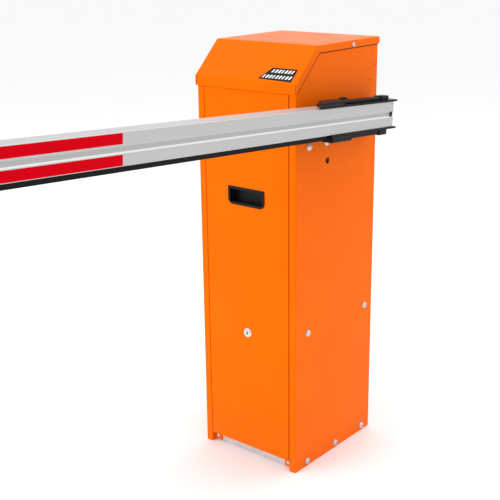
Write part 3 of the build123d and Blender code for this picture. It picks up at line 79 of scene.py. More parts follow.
def shade(red: int, green: int, blue: int) -> tuple[float, float, float, float]:
    """Turns a display colour into the linear colour that a shader wants.

    Args:
        red: Red, 0 to 255.
        green: Green, 0 to 255.
        blue: Blue, 0 to 255.

    Returns:
        The linear colour with an alpha of 1.
    """
    linear = []
    for channel in (red, green, blue):
        value = channel / 255.0
        linear.append(value / 12.92 if value <= 0.04045 else ((value + 0.055) / 1.055) ** 2.4)
    return (linear[0], linear[1], linear[2], 1.0)


# ---------------------------------------------------------------- shader expressions
class Signal:
    """One output of a shader node, with arithmetic that adds Math nodes."""

    def __init__(self, graph: "ShaderGraph", socket: bpy.types.NodeSocket) -> None:
        """Keeps the graph and the socket that carries the value."""
        self.graph = graph
        self.socket = socket

    def calculate(self, operation: str, *terms: "Signal | float") -> "Signal":
        """Adds one Math node.

        Args:
            operation: The node's operation, such as ADD.
            *terms: Its values or links, in order.

        Returns:
            The node's result.
        """
        return self.graph.node("ShaderNodeMath", {"operation": operation}, dict(enumerate(terms)))

    def __add__(self, other: "Signal | float") -> "Signal":
        """Adds."""
        return self.calculate("ADD", self, other)

    def __radd__(self, other: "Signal | float") -> "Signal":
        """Adds, with the value on the right."""
        return self.calculate("ADD", other, self)

    def __sub__(self, other: "Signal | float") -> "Signal":
        """Subtracts."""
        return self.calculate("SUBTRACT", self, other)

    def __rsub__(self, other: "Signal | float") -> "Signal":
        """Subtracts this from a number."""
        return self.calculate("SUBTRACT", other, self)

    def __mul__(self, other: "Signal | float") -> "Signal":
        """Multiplies."""
        return self.calculate("MULTIPLY", self, other)

    def __rmul__(self, other: "Signal | float") -> "Signal":
        """Multiplies, with the value on the right."""
        return self.calculate("MULTIPLY", other, self)

    def __gt__(self, other: "Signal | float") -> "Signal":
        """Is 1 where this is the greater."""
        return self.calculate("GREATER_THAN", self, other)

    def __lt__(self, other: "Signal | float") -> "Signal":
        """Is 1 where this is the smaller."""
        return self.calculate("LESS_THAN", self, other)

    def repeat(self, pitch: float) -> "Signal":
        """Runs from 0 to 1 once in every pitch."""
        return self.calculate("FRACT", self.calculate("MULTIPLY", self, 1.0 / pitch))

    def size(self) -> "Signal":
        """Drops the sign."""
        return self.calculate("ABSOLUTE", self)

    def most(self, other: "Signal | float") -> "Signal":
        """Takes the larger of two values."""
        return self.calculate("MAXIMUM", self, other)

    def ease(self, start: float, end: float, low: float = 0.0, high: float = 1.0) -> "Signal":
        """Runs smoothly from low to high while this goes from start to end.

        Args:
            start: Where the run starts.
            end: Where the run ends.
            low: The value before it.
            high: The value after it.

        Returns:
            The eased value.
        """
        return self.graph.node(
            "ShaderNodeMapRange",
            {"interpolation_type": "SMOOTHSTEP"},
            {0: self, 1: start, 2: end, 3: low, 4: high},
        )


class ShaderGraph:
    """The node tree of one finish."""

    def __init__(self, name: str) -> None:
        """Starts a material with one shader on its output."""
        self.material = bpy.data.materials.new(name)
        self.material.use_nodes = True
        self.tree = self.material.node_tree
        self.tree.nodes.clear()
        self.shader = self.tree.nodes.new("ShaderNodeBsdfPrincipled")
        output = self.tree.nodes.new("ShaderNodeOutputMaterial")
        self.tree.links.new(self.shader.outputs[0], output.inputs["Surface"])
        self.coordinates = self.node("ShaderNodeTexCoord", output="Object")

    def feed(self, socket: bpy.types.NodeSocket, value: object) -> None:
        """Links a signal to a socket, or sets the socket's own value."""
        if isinstance(value, Signal):
            self.tree.links.new(value.socket, socket)
        else:
            socket.default_value = value

    def node(
        self,
        kind: str,
        settings: dict[str, object] | None = None,
        inputs: dict[int | str, object] | None = None,
        output: int | str = 0,
    ) -> Signal:
        """Adds one node.

        Args:
            kind: The node's type.
            settings: Its properties.
            inputs: Values or signals for its sockets, by index or name.
            output: The output to return.

        Returns:
            The chosen output.
        """
        made = self.tree.nodes.new(kind)
        for key, value in (settings or {}).items():
            setattr(made, key, value)
        for key, value in (inputs or {}).items():
            self.feed(made.inputs[key], value)
        return Signal(self, made.outputs[output])

    def placed(
        self,
        scale: tuple[float, float, float],
        turn: tuple[float, float, float] = (0.0, 0.0, 0.0),
    ) -> Signal:
        """Gives the object's coordinates, turned and then stretched.

        Args:
            scale: How much each axis is stretched.
            turn: The turn about each axis, in radians.

        Returns:
            The new coordinates.
        """
        turned = self.node("ShaderNodeMapping", {}, {"Vector": self.coordinates, "Rotation": turn})
        return self.node(
            "ShaderNodeVectorMath", {"operation": "MULTIPLY"}, {0: turned, 1: scale}
        )

    def axes(self, vector: Signal | None = None) -> tuple[Signal, Signal, Signal]:
        """Splits coordinates into three numbers."""
        split = self.node("ShaderNodeSeparateXYZ", {}, {0: vector or self.coordinates})
        outputs = split.socket.node.outputs
        return Signal(self, outputs[0]), Signal(self, outputs[1]), Signal(self, outputs[2])

    def noise(
        self, scale: float, detail: float = 2.0, rough: float = 0.5, vector: Signal | None = None
    ) -> Signal:
        """Gives smooth noise from 0 to 1.

        Args:
            scale: Lumps in a metre of the coordinates.
            detail: How many finer layers are added.
            rough: How strong the finer layers are.
            vector: Other coordinates than the object's.

        Returns:
            The noise value.
        """
        place = vector or self.coordinates
        return self.node(
            "ShaderNodeTexNoise",
            {},
            {"Vector": place, "Scale": scale, "Detail": detail, "Roughness": rough},
        )

    def cells(self, scale: float, output: str = "Distance") -> Signal:
        """Gives a pattern of cells, as the distance in a cell or its own colour."""
        return self.node(
            "ShaderNodeTexVoronoi", {}, {"Vector": self.coordinates, "Scale": scale}, output
        )

    def mix(self, factor: Signal | float, first: object, second: object) -> Signal:
        """Mixes two colours."""
        return self.node(
            "ShaderNodeMix", {"data_type": "RGBA"}, {0: factor, 6: first, 7: second}, output=2
        )

    def relief(self, height: Signal, strength: float, depth: float) -> None:
        """Raises and lowers the surface's shading.

        Args:
            height: The pattern, 0 to 1.
            strength: How strong the relief is.
            depth: The pattern's height in metres.
        """
        bump = self.node(
            "ShaderNodeBump", {}, {"Height": height, "Strength": strength, "Distance": depth}
        )
        self.set(Normal=bump)

    def set(self, **sockets: object) -> None:
        """Sets or links sockets of the shader; an underscore stands for a space."""
        for name, value in sockets.items():
            self.feed(self.shader.inputs[name.replace("_", " ")], value)


# ---------------------------------------------------------------- finishes
@dataclass(frozen=True)
class Finish:
    """A finish that belongs to one material slot."""

    slot: str

    def label(self) -> str:
        """Gives the name of the finish's material."""
        return f"{self.slot}_finish"

    def material(self) -> bpy.types.Material:
        """Gives the finish's material, and makes it the first time."""
        name = self.label()
        if name not in bpy.data.materials:
            self.dress(ShaderGraph(name))
        return bpy.data.materials[name]

    def dress(self, graph: ShaderGraph) -> None:
        """Wires the finish's pattern into a new graph."""
        raise NotImplementedError


@dataclass(frozen=True)
class PowderCoat(Finish):
    """Baked powder paint with an orange-peel skin.

    Attributes:
        colour: The paint.
        deep: The paint where its film is thicker.
        gloss: The mean roughness.
        dust: How much pale dust lies near the ground.
        shine: The strength of its reflections.
        tint: The colour of its reflections.
    """

    colour: tuple[float, float, float, float]
    deep: tuple[float, float, float, float]
    gloss: float
    dust: float
    shine: float
    tint: tuple[float, float, float, float]

    def dress(self, graph: ShaderGraph) -> None:
        """Adds tone drift, peel, roughness drift and foot dust."""
        drift = graph.noise(4.0, 3.0)
        _, _, height = graph.axes()
        tone = graph.mix(drift.ease(0.3, 0.7), self.colour, self.deep)
        low = height.ease(0.0, 0.16, 1.0, 0.0)
        soiled = (low * graph.noise(38.0, 5.0, 0.65).ease(0.42, 0.72)) * self.dust
        graph.set(
            Base_Color=graph.mix(soiled, tone, shade(196, 178, 158)),
            Roughness=graph.noise(22.0, 4.0).ease(0.2, 0.8, self.gloss - 0.04, self.gloss + 0.05)
            + soiled * 0.5,
            Specular_IOR_Level=self.shine,
            Specular_Tint=self.tint,
        )
        peel = graph.noise(430.0, 1.5, 0.4) * 0.8 + graph.noise(1900.0, 1.0) * 0.2
        graph.relief(peel, 0.1, 0.0002)


@dataclass(frozen=True)
class Galvanised(Finish):
    """Hot-dip zinc with crystals of several greys."""

    light: tuple[float, float, float, float] = shade(232, 234, 236)
    dark: tuple[float, float, float, float] = shade(196, 199, 203)

    def dress(self, graph: ShaderGraph) -> None:
        """Adds crystals, a cloudy bloom and a roll grain."""
        crystal, turned, _ = graph.axes(graph.cells(85.0, "Color"))
        cloud = graph.noise(16.0, 4.0)
        grain = graph.noise(1.0, 3.0, 0.6, graph.placed((40.0, 900.0, 900.0)))
        graph.set(
            Base_Color=graph.mix(crystal * 0.55 + cloud * 0.35 + grain * 0.1, self.dark, self.light),
            Metallic=0.85,
            Roughness=0.3 + turned * 0.18 + cloud * 0.12,
        )
        graph.relief(crystal * 0.7 + grain * 0.3, 0.12, 0.0001)


@dataclass(frozen=True)
class ExtrudedAluminium(Finish):
    """Anodised aluminium with die lines along the boom, with painted shade on its recessed band and a
    painted highlight on the band's lower slope.
    """

    light: tuple[float, float, float, float] = shade(199, 199, 198)
    dark: tuple[float, float, float, float] = shade(181, 181, 180)
    # The next two colours are painted shade for the recessed band's floor and a painted highlight for
    # its lower slope.
    groove_shade: tuple[float, float, float, float] = shade(158, 157, 156)
    ramp_highlight: tuple[float, float, float, float] = shade(240, 240, 240)

    def dress(self, graph: ShaderGraph) -> None:
        """Adds die lines that follow the boom, a soft cloud, painted shade on the recessed band's
        floor and a painted highlight on its lower slope.
        """
        along = graph.placed((1100.0, 3.0, 1100.0), (BOOM_TILT, 0.0, 0.0))
        wide = graph.placed((130.0, 1.2, 130.0), (BOOM_TILT, 0.0, 0.0))
        lines = graph.noise(1.0, 2.0, 0.6, along)
        bands = graph.noise(1.0, 2.0, 0.5, wide)
        cloud = graph.noise(9.0, 3.0)
        _, depth, height = graph.axes()
        up = (depth - SHAFT_Y) * math.sin(BOOM_TILT) + (height - SHAFT_Z) * math.cos(BOOM_TILT)
        # Masks of the recessed band's floor, which takes painted shade, and of its lower slope, which
        # takes a painted highlight.
        floor = up.ease(-0.0044, -0.0036) * up.ease(0.0030, 0.0040, 1.0, 0.0)
        ramp_highlight = up.ease(-0.0074, -0.0068) * up.ease(-0.0044, -0.0036, 1.0, 0.0)
        tone = graph.mix(lines * 0.4 + bands * 0.35 + cloud * 0.25, self.dark, self.light)
        graph.set(
            Base_Color=graph.mix(ramp_highlight * 0.8, graph.mix(floor * 0.45, tone, self.groove_shade), self.ramp_highlight),
            Metallic=0.6,
            Roughness=0.34 + bands * 0.1 + lines * 0.08,
        )
        graph.relief(lines * 0.75 + graph.noise(2400.0, 1.0) * 0.25, 0.1, 0.00006)


@dataclass(frozen=True)
class ReflectiveFilm(Finish):
    """Red warning film with a fine diamond seal pattern under a clear face."""

    colour: tuple[float, float, float, float] = shade(214, 0, 20)
    line: tuple[float, float, float, float] = shade(184, 0, 16)
    pitch: float = 0.0032
    seal: float = 0.09

    def dress(self, graph: ShaderGraph) -> None:
        """Crosses two sets of seal lines and adds the grain of the beads."""
        _, along, up = graph.axes(graph.placed((1.0, 1.0, 1.0), (BOOM_TILT, 0.0, 0.0)))
        rising = (along + up * 1.7).repeat(self.pitch)
        falling = (along - up * 1.7).repeat(self.pitch)
        seals = (rising < self.seal).most(falling < self.seal)
        beads = graph.cells(2600.0)
        graph.set(
            Base_Color=graph.mix(seals * 0.7 + beads * 0.25, self.colour, self.line),
            Roughness=0.46 + seals * 0.12,
            Specular_IOR_Level=0.04,
            Specular_Tint=(1.0, 0.2, 0.2, 1.0),
        )
        graph.relief(1.0 - seals * 0.6, 0.12, 0.00008)


@dataclass(frozen=True)
class GrainedPlastic(Finish):
    """Moulded plastic with a fine spark-eroded grain.

    Attributes:
        colour: The plastic.
        worn: Its paler, rubbed tone.
        gloss: The mean roughness.
        grain: Grains in a metre.
    """

    colour: tuple[float, float, float, float]
    worn: tuple[float, float, float, float]
    gloss: float = 0.42
    grain: float = 1700.0

    def dress(self, graph: ShaderGraph) -> None:
        """Adds the grain, flow clouds and rubbed patches."""
        grain = graph.cells(self.grain)
        rubbed = graph.noise(26.0, 5.0, 0.6).ease(0.5, 0.8)
        graph.set(
            Base_Color=graph.mix(rubbed * 0.5 + grain * 0.18, self.colour, self.worn),
            Roughness=self.gloss + grain * 0.12 - rubbed * 0.06,
            Specular_IOR_Level=0.2,
        )
        graph.relief(grain, 0.25, 0.00012)


@dataclass(frozen=True)
class Rubber(Finish):
    """Black EPDM with a pale bloom."""

    def dress(self, graph: ShaderGraph) -> None:
        """Adds extrusion lines and bloom."""
        along = graph.noise(1.0, 3.0, 0.6, graph.placed((700.0, 5.0, 700.0), (BOOM_TILT, 0.0, 0.0)))
        bloom = graph.noise(30.0, 5.0, 0.65).ease(0.45, 0.8)
        graph.set(
            Base_Color=graph.mix(bloom * 0.3 + along * 0.15, shade(12, 12, 13), shade(44, 44, 46)),
            Roughness=0.58 + bloom * 0.2,
            Specular_IOR_Level=0.12,
        )
        graph.relief(along * 0.6 + graph.noise(1300.0, 2.0) * 0.4, 0.2, 0.0001)


@dataclass(frozen=True)
class Metal(Finish):
    """Bare or plated metal with a directed grain.

    Attributes:
        light: The brighter tone.
        dark: The darker tone.
        gloss: The mean roughness.
        grain: How much each axis of the grain is stretched.
        stain: How strongly clouds darken it.
        depth: The grain's depth in metres.
    """

    light: tuple[float, float, float, float]
    dark: tuple[float, float, float, float]
    gloss: float
    grain: tuple[float, float, float] = (900.0, 900.0, 900.0)
    stain: float = 0.3
    depth: float = 0.00005

    def dress(self, graph: ShaderGraph) -> None:
        """Adds the grain, stains and uneven polish."""
        grain = graph.noise(1.0, 3.0, 0.6, graph.placed(self.grain))
        stain = graph.noise(45.0, 5.0, 0.62).ease(0.4, 0.75)
        graph.set(
            Base_Color=graph.mix(grain * 0.4 + stain * self.stain, self.light, self.dark),
            Metallic=1.0,
            Roughness=self.gloss + grain * 0.1 + stain * 0.08,
        )
        graph.relief(grain, 0.2, self.depth)


@dataclass(frozen=True)
class CastAlloy(Finish):
    """Die-cast alloy with a sandy skin under grey paint."""

    def dress(self, graph: ShaderGraph) -> None:
        """Adds sand pits, flow clouds and oily patches."""
        sand = graph.noise(750.0, 4.0, 0.7)
        flow = graph.noise(14.0, 4.0)
        oil = graph.noise(22.0, 5.0, 0.6).ease(0.55, 0.75)
        graph.set(
            Base_Color=graph.mix(flow * 0.5 + sand * 0.3, shade(118, 122, 126), shade(170, 173, 176)),
            Metallic=0.55,
            Roughness=0.52 + sand * 0.12 - oil * 0.2,
        )
        graph.relief(sand * 0.8 + flow * 0.2, 0.4, 0.0003)


@dataclass(frozen=True)
class CircuitBoard(Finish):
    """Solder mask with copper tracks under it."""

    pitch: float = 0.0042

    def dress(self, graph: ShaderGraph) -> None:
        """Draws tracks, pads and the weave of the glass cloth."""
        across, _, up = graph.axes()
        sheet_noise = graph.noise(90.0, 1.0)
        lane = (across + sheet_noise * 0.006).repeat(self.pitch)
        rung = (up - sheet_noise * 0.006).repeat(self.pitch * 1.5)
        tracks = (lane < 0.28).most(rung < 0.2) * graph.noise(55.0, 0.0).ease(0.46, 0.5)
        pads = graph.cells(210.0) < 0.2
        weave = (across.repeat(0.0009) - 0.5).size() + (up.repeat(0.0009) - 0.5).size()
        mask = graph.mix(tracks * 0.8 + weave * 0.12, shade(12, 74, 44), shade(44, 132, 78))
        graph.set(
            Base_Color=graph.mix(pads, mask, shade(206, 198, 170)),
            Metallic=pads * 0.8,
            Roughness=0.34 - pads * 0.08,
        )
        graph.relief(tracks * 0.6 + pads * 0.4, 0.3, 0.00008)


@dataclass(frozen=True)
class Vinyl(Finish):
    """Printed vinyl with a fine grain and a rubbed sheen.

    Attributes:
        ink: Which of the two inks it is.
        colour: The ink's colour.
        worn: The colour where it is rubbed.
    """

    ink: Ink
    colour: tuple[float, float, float, float]
    worn: tuple[float, float, float, float]

    def label(self) -> str:
        """Gives the material's name, which tells the ink, as both inks share a slot."""
        return f"{self.slot}_{self.ink.value}_ink"

    def dress(self, graph: ShaderGraph) -> None:
        """Adds the grain and the rubbed patches."""
        grain = graph.noise(900.0, 3.0, 0.6)
        rubbed = graph.noise(60.0, 4.0, 0.6).ease(0.45, 0.75)
        graph.set(
            Base_Color=graph.mix(grain * 0.3 + rubbed * 0.5, self.colour, self.worn),
            Roughness=0.36 + grain * 0.1 - rubbed * 0.06,
            Specular_IOR_Level=0.2,
        )
        graph.relief(grain, 0.15, 0.00005)


ORANGE = PowderCoat(
    "painted_orange", shade(246, 107, 0), shade(243, 103, 0), 0.32, 0.05, 0.07, (1.0, 0.42, 0.1, 1.0)
)
BLACK_PAINT = PowderCoat(
    "painted_black", shade(15, 15, 16), shade(9, 9, 10), 0.42, 0.0, 0.14, (1.0, 1.0, 1.0, 1.0)
)
ZINC_SHEET = Galvanised("galvanised")
BADGE = Vinyl("badge_film", Ink.DARK, shade(14, 14, 16), shade(34, 34, 36))
BADGE_BARS = Vinyl("badge_film", Ink.LIGHT, shade(244, 244, 242), shade(226, 226, 224))
BLACK_PLASTIC = GrainedPlastic("black_plastic", shade(13, 13, 14), shade(30, 30, 32))
GREY_PLASTIC = GrainedPlastic("grey_plastic", shade(196, 199, 200), shade(178, 182, 184), 0.46, 1400.0)
CHROME = Metal("lock_chrome", shade(238, 239, 241), shade(186, 188, 192), 0.16, stain=0.2)
ZINC = Metal("zinc_screw", shade(224, 226, 229), shade(156, 159, 165), 0.2)
MACHINED = Metal(
    "machined_steel", shade(188, 190, 194), shade(128, 131, 137), 0.3, (1400.0, 260.0, 260.0)
)
SPRING = Metal("spring_steel", shade(112, 114, 120), shade(62, 64, 70), 0.34)
BRONZE = Metal("bronze", shade(206, 158, 92), shade(150, 104, 54), 0.3)
CAST = CastAlloy("cast_housing")
RUBBER = Rubber("black_rubber")
ALUMINIUM = ExtrudedAluminium("boom_aluminium")
FILM = ReflectiveFilm("reflective_red")
BOARD = CircuitBoard("board_green")


# ---------------------------------------------------------------- mesh tools
MERGE = 1e-6
CAD_MERGE = 2e-6
FLAT_ANGLE = math.radians(0.6)
FACE_WEIGHT = 60
MITRE_LIMIT = 0.5


def finish_mesh(
    name: str, mesh: bmesh.types.BMesh, finish: Finish, angle: float = 32.0
) -> bpy.types.Object:
    """Turns a finished bmesh into a piece.

    Args:
        name: The piece's name.
        mesh: The bmesh, which is freed.
        finish: The finish it takes.
        angle: The edge angle in degrees above which an edge stays sharp.

    Returns:
        The new object, at the origin.
    """
    bmesh.ops.remove_doubles(mesh, verts=mesh.verts, dist=MERGE)
    bmesh.ops.recalc_face_normals(mesh, faces=mesh.faces)
    data = bpy.data.meshes.new(name)
    mesh.to_mesh(data)
    mesh.free()
    data.shade_smooth()
    data.set_sharp_from_angle(angle=math.radians(angle))
    data.materials.append(finish.material())
    piece = bpy.data.objects.new(name, data)
    bpy.context.scene.collection.objects.link(piece)
    level = piece.modifiers.new("level_faces", "WEIGHTED_NORMAL")
    level.keep_sharp = True
    level.weight = FACE_WEIGHT
    return piece


def soften(mesh: bmesh.types.BMesh, width: float, segments: int = 2, angle: float = 40.0) -> None:
    """Bevels every edge that is sharper than an angle.

    Args:
        mesh: The bmesh to change.
        width: The bevel's width in metres.
        segments: Its number of steps.
        angle: The smallest edge angle, in degrees, that is bevelled.
    """
    limit = math.radians(angle)
    edges = [
        edge for edge in mesh.edges if len(edge.link_faces) == 2 and edge.calc_face_angle() > limit
    ]
    if edges:
        bmesh.ops.bevel(
            mesh, geom=edges, offset=width, segments=segments, profile=0.5, affect="EDGES",
            clamp_overlap=True, material=-1,
        )


def seat(piece: bpy.types.Object, body: Body, finish: Finish, *nodes: str) -> bpy.types.Object:
    """Lets a piece ride a body and stand for the nodes it replaces.

    Args:
        piece: The piece.
        body: The body that carries it.
        finish: The piece's finish, which is not used.
        *nodes: The nodes it stands for.

    Returns:
        The same piece.
    """
    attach(piece, body.value)
    if nodes:
        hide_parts(*nodes)
    LOG.info("%s: %d faces on %s", piece.name, len(piece.data.polygons), body.value)
    return piece


def lathe(
    mesh: bmesh.types.BMesh, profile: list[tuple[float, float]], place: Matrix, steps: int = 48
) -> None:
    """Turns a closed outline about the place's Z axis.

    Args:
        mesh: The bmesh that takes the ring.
        profile: Radius and height of each corner of the outline, in order.  A side that lies on
            the axis is left out.
        place: Where the axis is and where it points.
        steps: The number of steps round it.
    """
    corners = [mesh.verts.new(place @ Vector((radius, 0.0, height))) for radius, height in profile]
    ring = [
        mesh.edges.new((corners[index - 1], corners[index]))
        for index in range(len(corners))
        if max(profile[index - 1][0], profile[index][0]) > 0.0
    ]
    axis = place.to_3x3() @ Vector((0.0, 0.0, 1.0))
    bmesh.ops.spin(
        mesh, geom=corners + ring, cent=place.translation, axis=axis, angle=math.tau, steps=steps,
        use_merge=True,
    )


def block(
    mesh: bmesh.types.BMesh, place: Matrix, size: tuple[float, float, float], edge: float
) -> None:
    """Adds a block with rounded edges.

    Args:
        mesh: The bmesh that takes it.
        place: The place of its middle and its turn.
        size: Its three lengths in metres.
        edge: The width of its rounded edges.
    """
    made = bmesh.ops.create_cube(mesh, size=1.0, matrix=place @ Matrix.Diagonal((*size, 1.0)))
    edges = list(dict.fromkeys(side for vert in made["verts"] for side in vert.link_edges))
    bmesh.ops.bevel(
        mesh, geom=edges, offset=edge, segments=2, profile=0.5, affect="EDGES",
        clamp_overlap=True, material=-1,
    )


def strand(
    mesh: bmesh.types.BMesh, path: list[Vector], half: tuple[float, float], steps: int = 12
) -> None:
    """Draws an oval section along a path that lies in a plane of constant X.

    Args:
        mesh: The bmesh that takes it.
        path: The corners of the path.
        half: Half the section's width along X and across the path.
        steps: The number of corners of the section.
    """
    side = Vector((1.0, 0.0, 0.0))
    legs = [(path[index + 1] - path[index]).normalized() for index in range(len(path) - 1)]
    verts: list[bmesh.types.BMVert] = []
    last = Matrix()
    for index, point in enumerate(path):
        before, after = legs[max(index - 1, 0)], legs[min(index, len(legs) - 1)]
        middle = (before + after).normalized()
        stretch = 1.0 / max(MITRE_LIMIT, middle.dot(after))
        frame = Matrix((side, side.cross(middle) * -1.0, middle)).transposed().to_4x4()
        oval = Matrix.Diagonal((half[0], half[1] * stretch, 1.0, 1.0))
        place = Matrix.Translation(point) @ frame @ oval
        if index == 0:
            made = bmesh.ops.create_circle(
                mesh, cap_ends=True, segments=steps, radius=1.0, matrix=place
            )
            verts = made["verts"]
        else:
            ends = [face for face in verts[0].link_faces if set(face.verts) <= set(verts)]
            made = bmesh.ops.extrude_face_region(mesh, geom=ends)
            verts = [item for item in made["geom"] if isinstance(item, bmesh.types.BMVert)]
            if index > 1:
                bmesh.ops.delete(mesh, geom=ends, context="FACES_ONLY")
            bmesh.ops.transform(mesh, matrix=place @ last.inverted(), verts=verts)
        last = place


@dataclass
class FormedPart:
    """A part whose own mesh is cleaned, given soft edges and shaded smoothly.

    Attributes:
        node: The part.
        body: The body it rides on.
        finish: Its finish.
        edge: The width of its broken edges in metres, or 0 for none.
        crease: The edge angle in degrees above which its shading breaks.
    """

    node: str
    body: Body
    finish: Finish
    edge: float = 0.0
    crease: float = 32.0

    def build(self) -> bpy.types.Object:
        """Builds the piece and seats it."""
        mesh = bmesh.new()
        mesh.from_mesh(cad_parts[self.node].data)
        bmesh.ops.remove_doubles(mesh, verts=mesh.verts, dist=CAD_MERGE)
        bmesh.ops.dissolve_limit(
            mesh, angle_limit=FLAT_ANGLE, verts=mesh.verts, edges=mesh.edges
        )
        if self.edge:
            soften(mesh, self.edge)
        piece = finish_mesh(f"{self.node}_formed", mesh, self.finish, self.crease)
        return seat(piece, self.body, self.finish, self.node)


# ---------------------------------------------------------------- sub-assemblies
@dataclass
class Badge:
    """The film badge on the cap's slanting face, with two rows of leaning bars.

    Attributes:
        middle: The middle of the slanting face.
        slope: The face's slope from the ground.
        corners: The film's corners on the face, from the middle.
        film: The film's thickness.
        rows: Start of each row of bars, its height, its first bar's place and its bar count.
        pitch: The distance between two bars.
        lean: How far a bar leans over for its height.
        ink: How far the bars stand out.
        fill: How much of the pitch a wide bar takes, and every third one.
    """

    middle: tuple[float, float, float] = (0.0, -0.12175, 0.9625)
    slope: float = math.atan2(75.0, 77.5)
    corners: tuple[tuple[float, float], ...] = (
        (0.036, -0.047), (0.127, -0.0495), (0.1275, -0.015), (0.060, -0.015)
    )
    film: float = 0.0004
    rows: tuple[tuple[float, float, float, int], ...] = (
        (-0.0435, 0.0088, 0.0450, 9), (-0.0280, 0.0088, 0.0620, 7)
    )
    pitch: float = 0.0088
    lean: float = 0.45
    ink: float = 0.00008
    fill: tuple[float, float] = (0.56, 0.42)

    def plate(
        self, mesh: bmesh.types.BMesh, corners: list[Vector], height: float, foot: float
    ) -> None:
        """Adds a thin four-sided plate.

        Args:
            mesh: The bmesh that takes it.
            corners: Its corners, in turn.
            height: Its thickness.
            foot: The height of its underside.
        """
        made = bmesh.ops.create_grid(mesh, x_segments=1, y_segments=1, size=1.0)
        order = {(-1, -1): 0, (1, -1): 1, (1, 1): 2, (-1, 1): 3}
        for vert in made["verts"]:
            corner = corners[order[(round(vert.co.x), round(vert.co.y))]]
            vert.co = Vector((corner.x, corner.y, foot))
        grown = bmesh.ops.extrude_face_region(mesh, geom=made["verts"][0].link_faces[:])
        top = [item for item in grown["geom"] if isinstance(item, bmesh.types.BMVert)]
        bmesh.ops.translate(mesh, vec=(0.0, 0.0, height), verts=top)
        bmesh.ops.reverse_faces(mesh, faces=made["verts"][0].link_faces[:])

    def build(self) -> None:
        """Builds the film and the bars printed on it."""
        place = Matrix.Translation(self.middle) @ Matrix.Rotation(self.slope, 4, "X")
        film = bmesh.new()
        self.plate(film, [Vector((*corner, 0.0)) for corner in self.corners], self.film, 0.0)
        bmesh.ops.transform(film, matrix=place, verts=film.verts)
        seat(finish_mesh("badge_film", film, BADGE), Body.CABINET, BADGE, "badge_plate")
        bars = bmesh.new()
        for foot, height, start, count in self.rows:
            for index in range(count):
                left = start + index * self.pitch
                wide = self.pitch * self.fill[0 if index % 3 else 1]
                over = Vector((self.lean * height, height, 0.0))
                low = Vector((left, foot, 0.0))
                right = Vector((left + wide, foot, 0.0))
                self.plate(bars, [low, right, right + over, low + over], self.ink, self.film)
        bmesh.ops.transform(bars, matrix=place, verts=bars.verts)
        seat(finish_mesh("badge_bars", bars, BADGE_BARS), Body.CABINET, BADGE_BARS)


@dataclass
class GapShadeBeads:
    """Black rubber beads that paint the shade in the gaps of the door and of the cap: painted shade.

    Attributes:
        door_gap: The middle of the door's side gap from the middle of the door.
        depth: How far the door's bead sits from the middle of the cabinet.
        cap_gap: The middle of the gap between the cap's side lip and the side sheet.
        lip: The lower edge of the cap's side lip, as Y and Z.
        slit: The X and Y of the slit at the end of the cap's front lip.
        door_reach: The lower and upper end of the door's beads.
        slit_reach: The lower and upper end of the slit's beads.
        door_half: Half the door bead's width and depth.
        lip_half: Half the lip bead's width and depth.
        slit_half: Half the slit bead's width and depth.
    """

    door_gap: float = 0.1214
    depth: float = -0.1530
    cap_gap: float = 0.1415
    lip: tuple[tuple[float, float], ...] = ((-0.1565, 0.9034), (-0.0735, 0.9837), (0.1570, 0.9837))
    slit: tuple[float, float] = (0.1414, -0.1597)
    door_reach: tuple[float, float] = (0.030, 0.899)
    slit_reach: tuple[float, float] = (0.9035, 0.9240)
    door_half: tuple[float, float] = (0.0008, 0.0025)
    lip_half: tuple[float, float] = (0.0005, 0.0020)
    slit_half: tuple[float, float] = (0.0005, 0.0007)

    def build(self) -> None:
        """Builds the painted-shade beads of the door, of the cap's side lips and of its slits."""
        mesh = bmesh.new()
        for side in (-1.0, 1.0):
            gap, corner = side * self.door_gap, side * self.slit[0]
            door = [Vector((gap, self.depth, height)) for height in self.door_reach]
            strand(mesh, door, self.door_half)
            lip = [Vector((side * self.cap_gap, *point)) for point in self.lip]
            strand(mesh, lip, self.lip_half)
            slit = [Vector((corner, self.slit[1], height)) for height in self.slit_reach]
            strand(mesh, slit, self.slit_half)
        # Dark beads where the gaps hold only shade: painted shade.
        seat(finish_mesh("gap_shade_beads", mesh, RUBBER), Body.CABINET, RUBBER)


@dataclass
class Cabinet:
    """The folded sheets that make the housing, with their screws and base."""

    sheet_edge: float = 0.0004

    def build(self) -> None:
        """Builds the sheets, the base and the screws."""
        for node in ("left_side_panel", "right_side_panel", "rear_panel", "top_cap"):
            FormedPart(node, Body.CABINET, ORANGE, self.sheet_edge).build()
        for node in ("base_frame", "mid_shelf", "top_rail", "din_rail", "sensor_bracket"):
            FormedPart(node, Body.CABINET, ZINC_SHEET, self.sheet_edge).build()
        Badge().build()
        # Dark beads that paint the shade in the gaps of the door and of the cap.
        GapShadeBeads().build()
        for node in ("panel_screws", "panel_washers", "sheet_screws", "foot_screws"):
            FormedPart(node, Body.CABINET, ZINC, 0.0002).build()


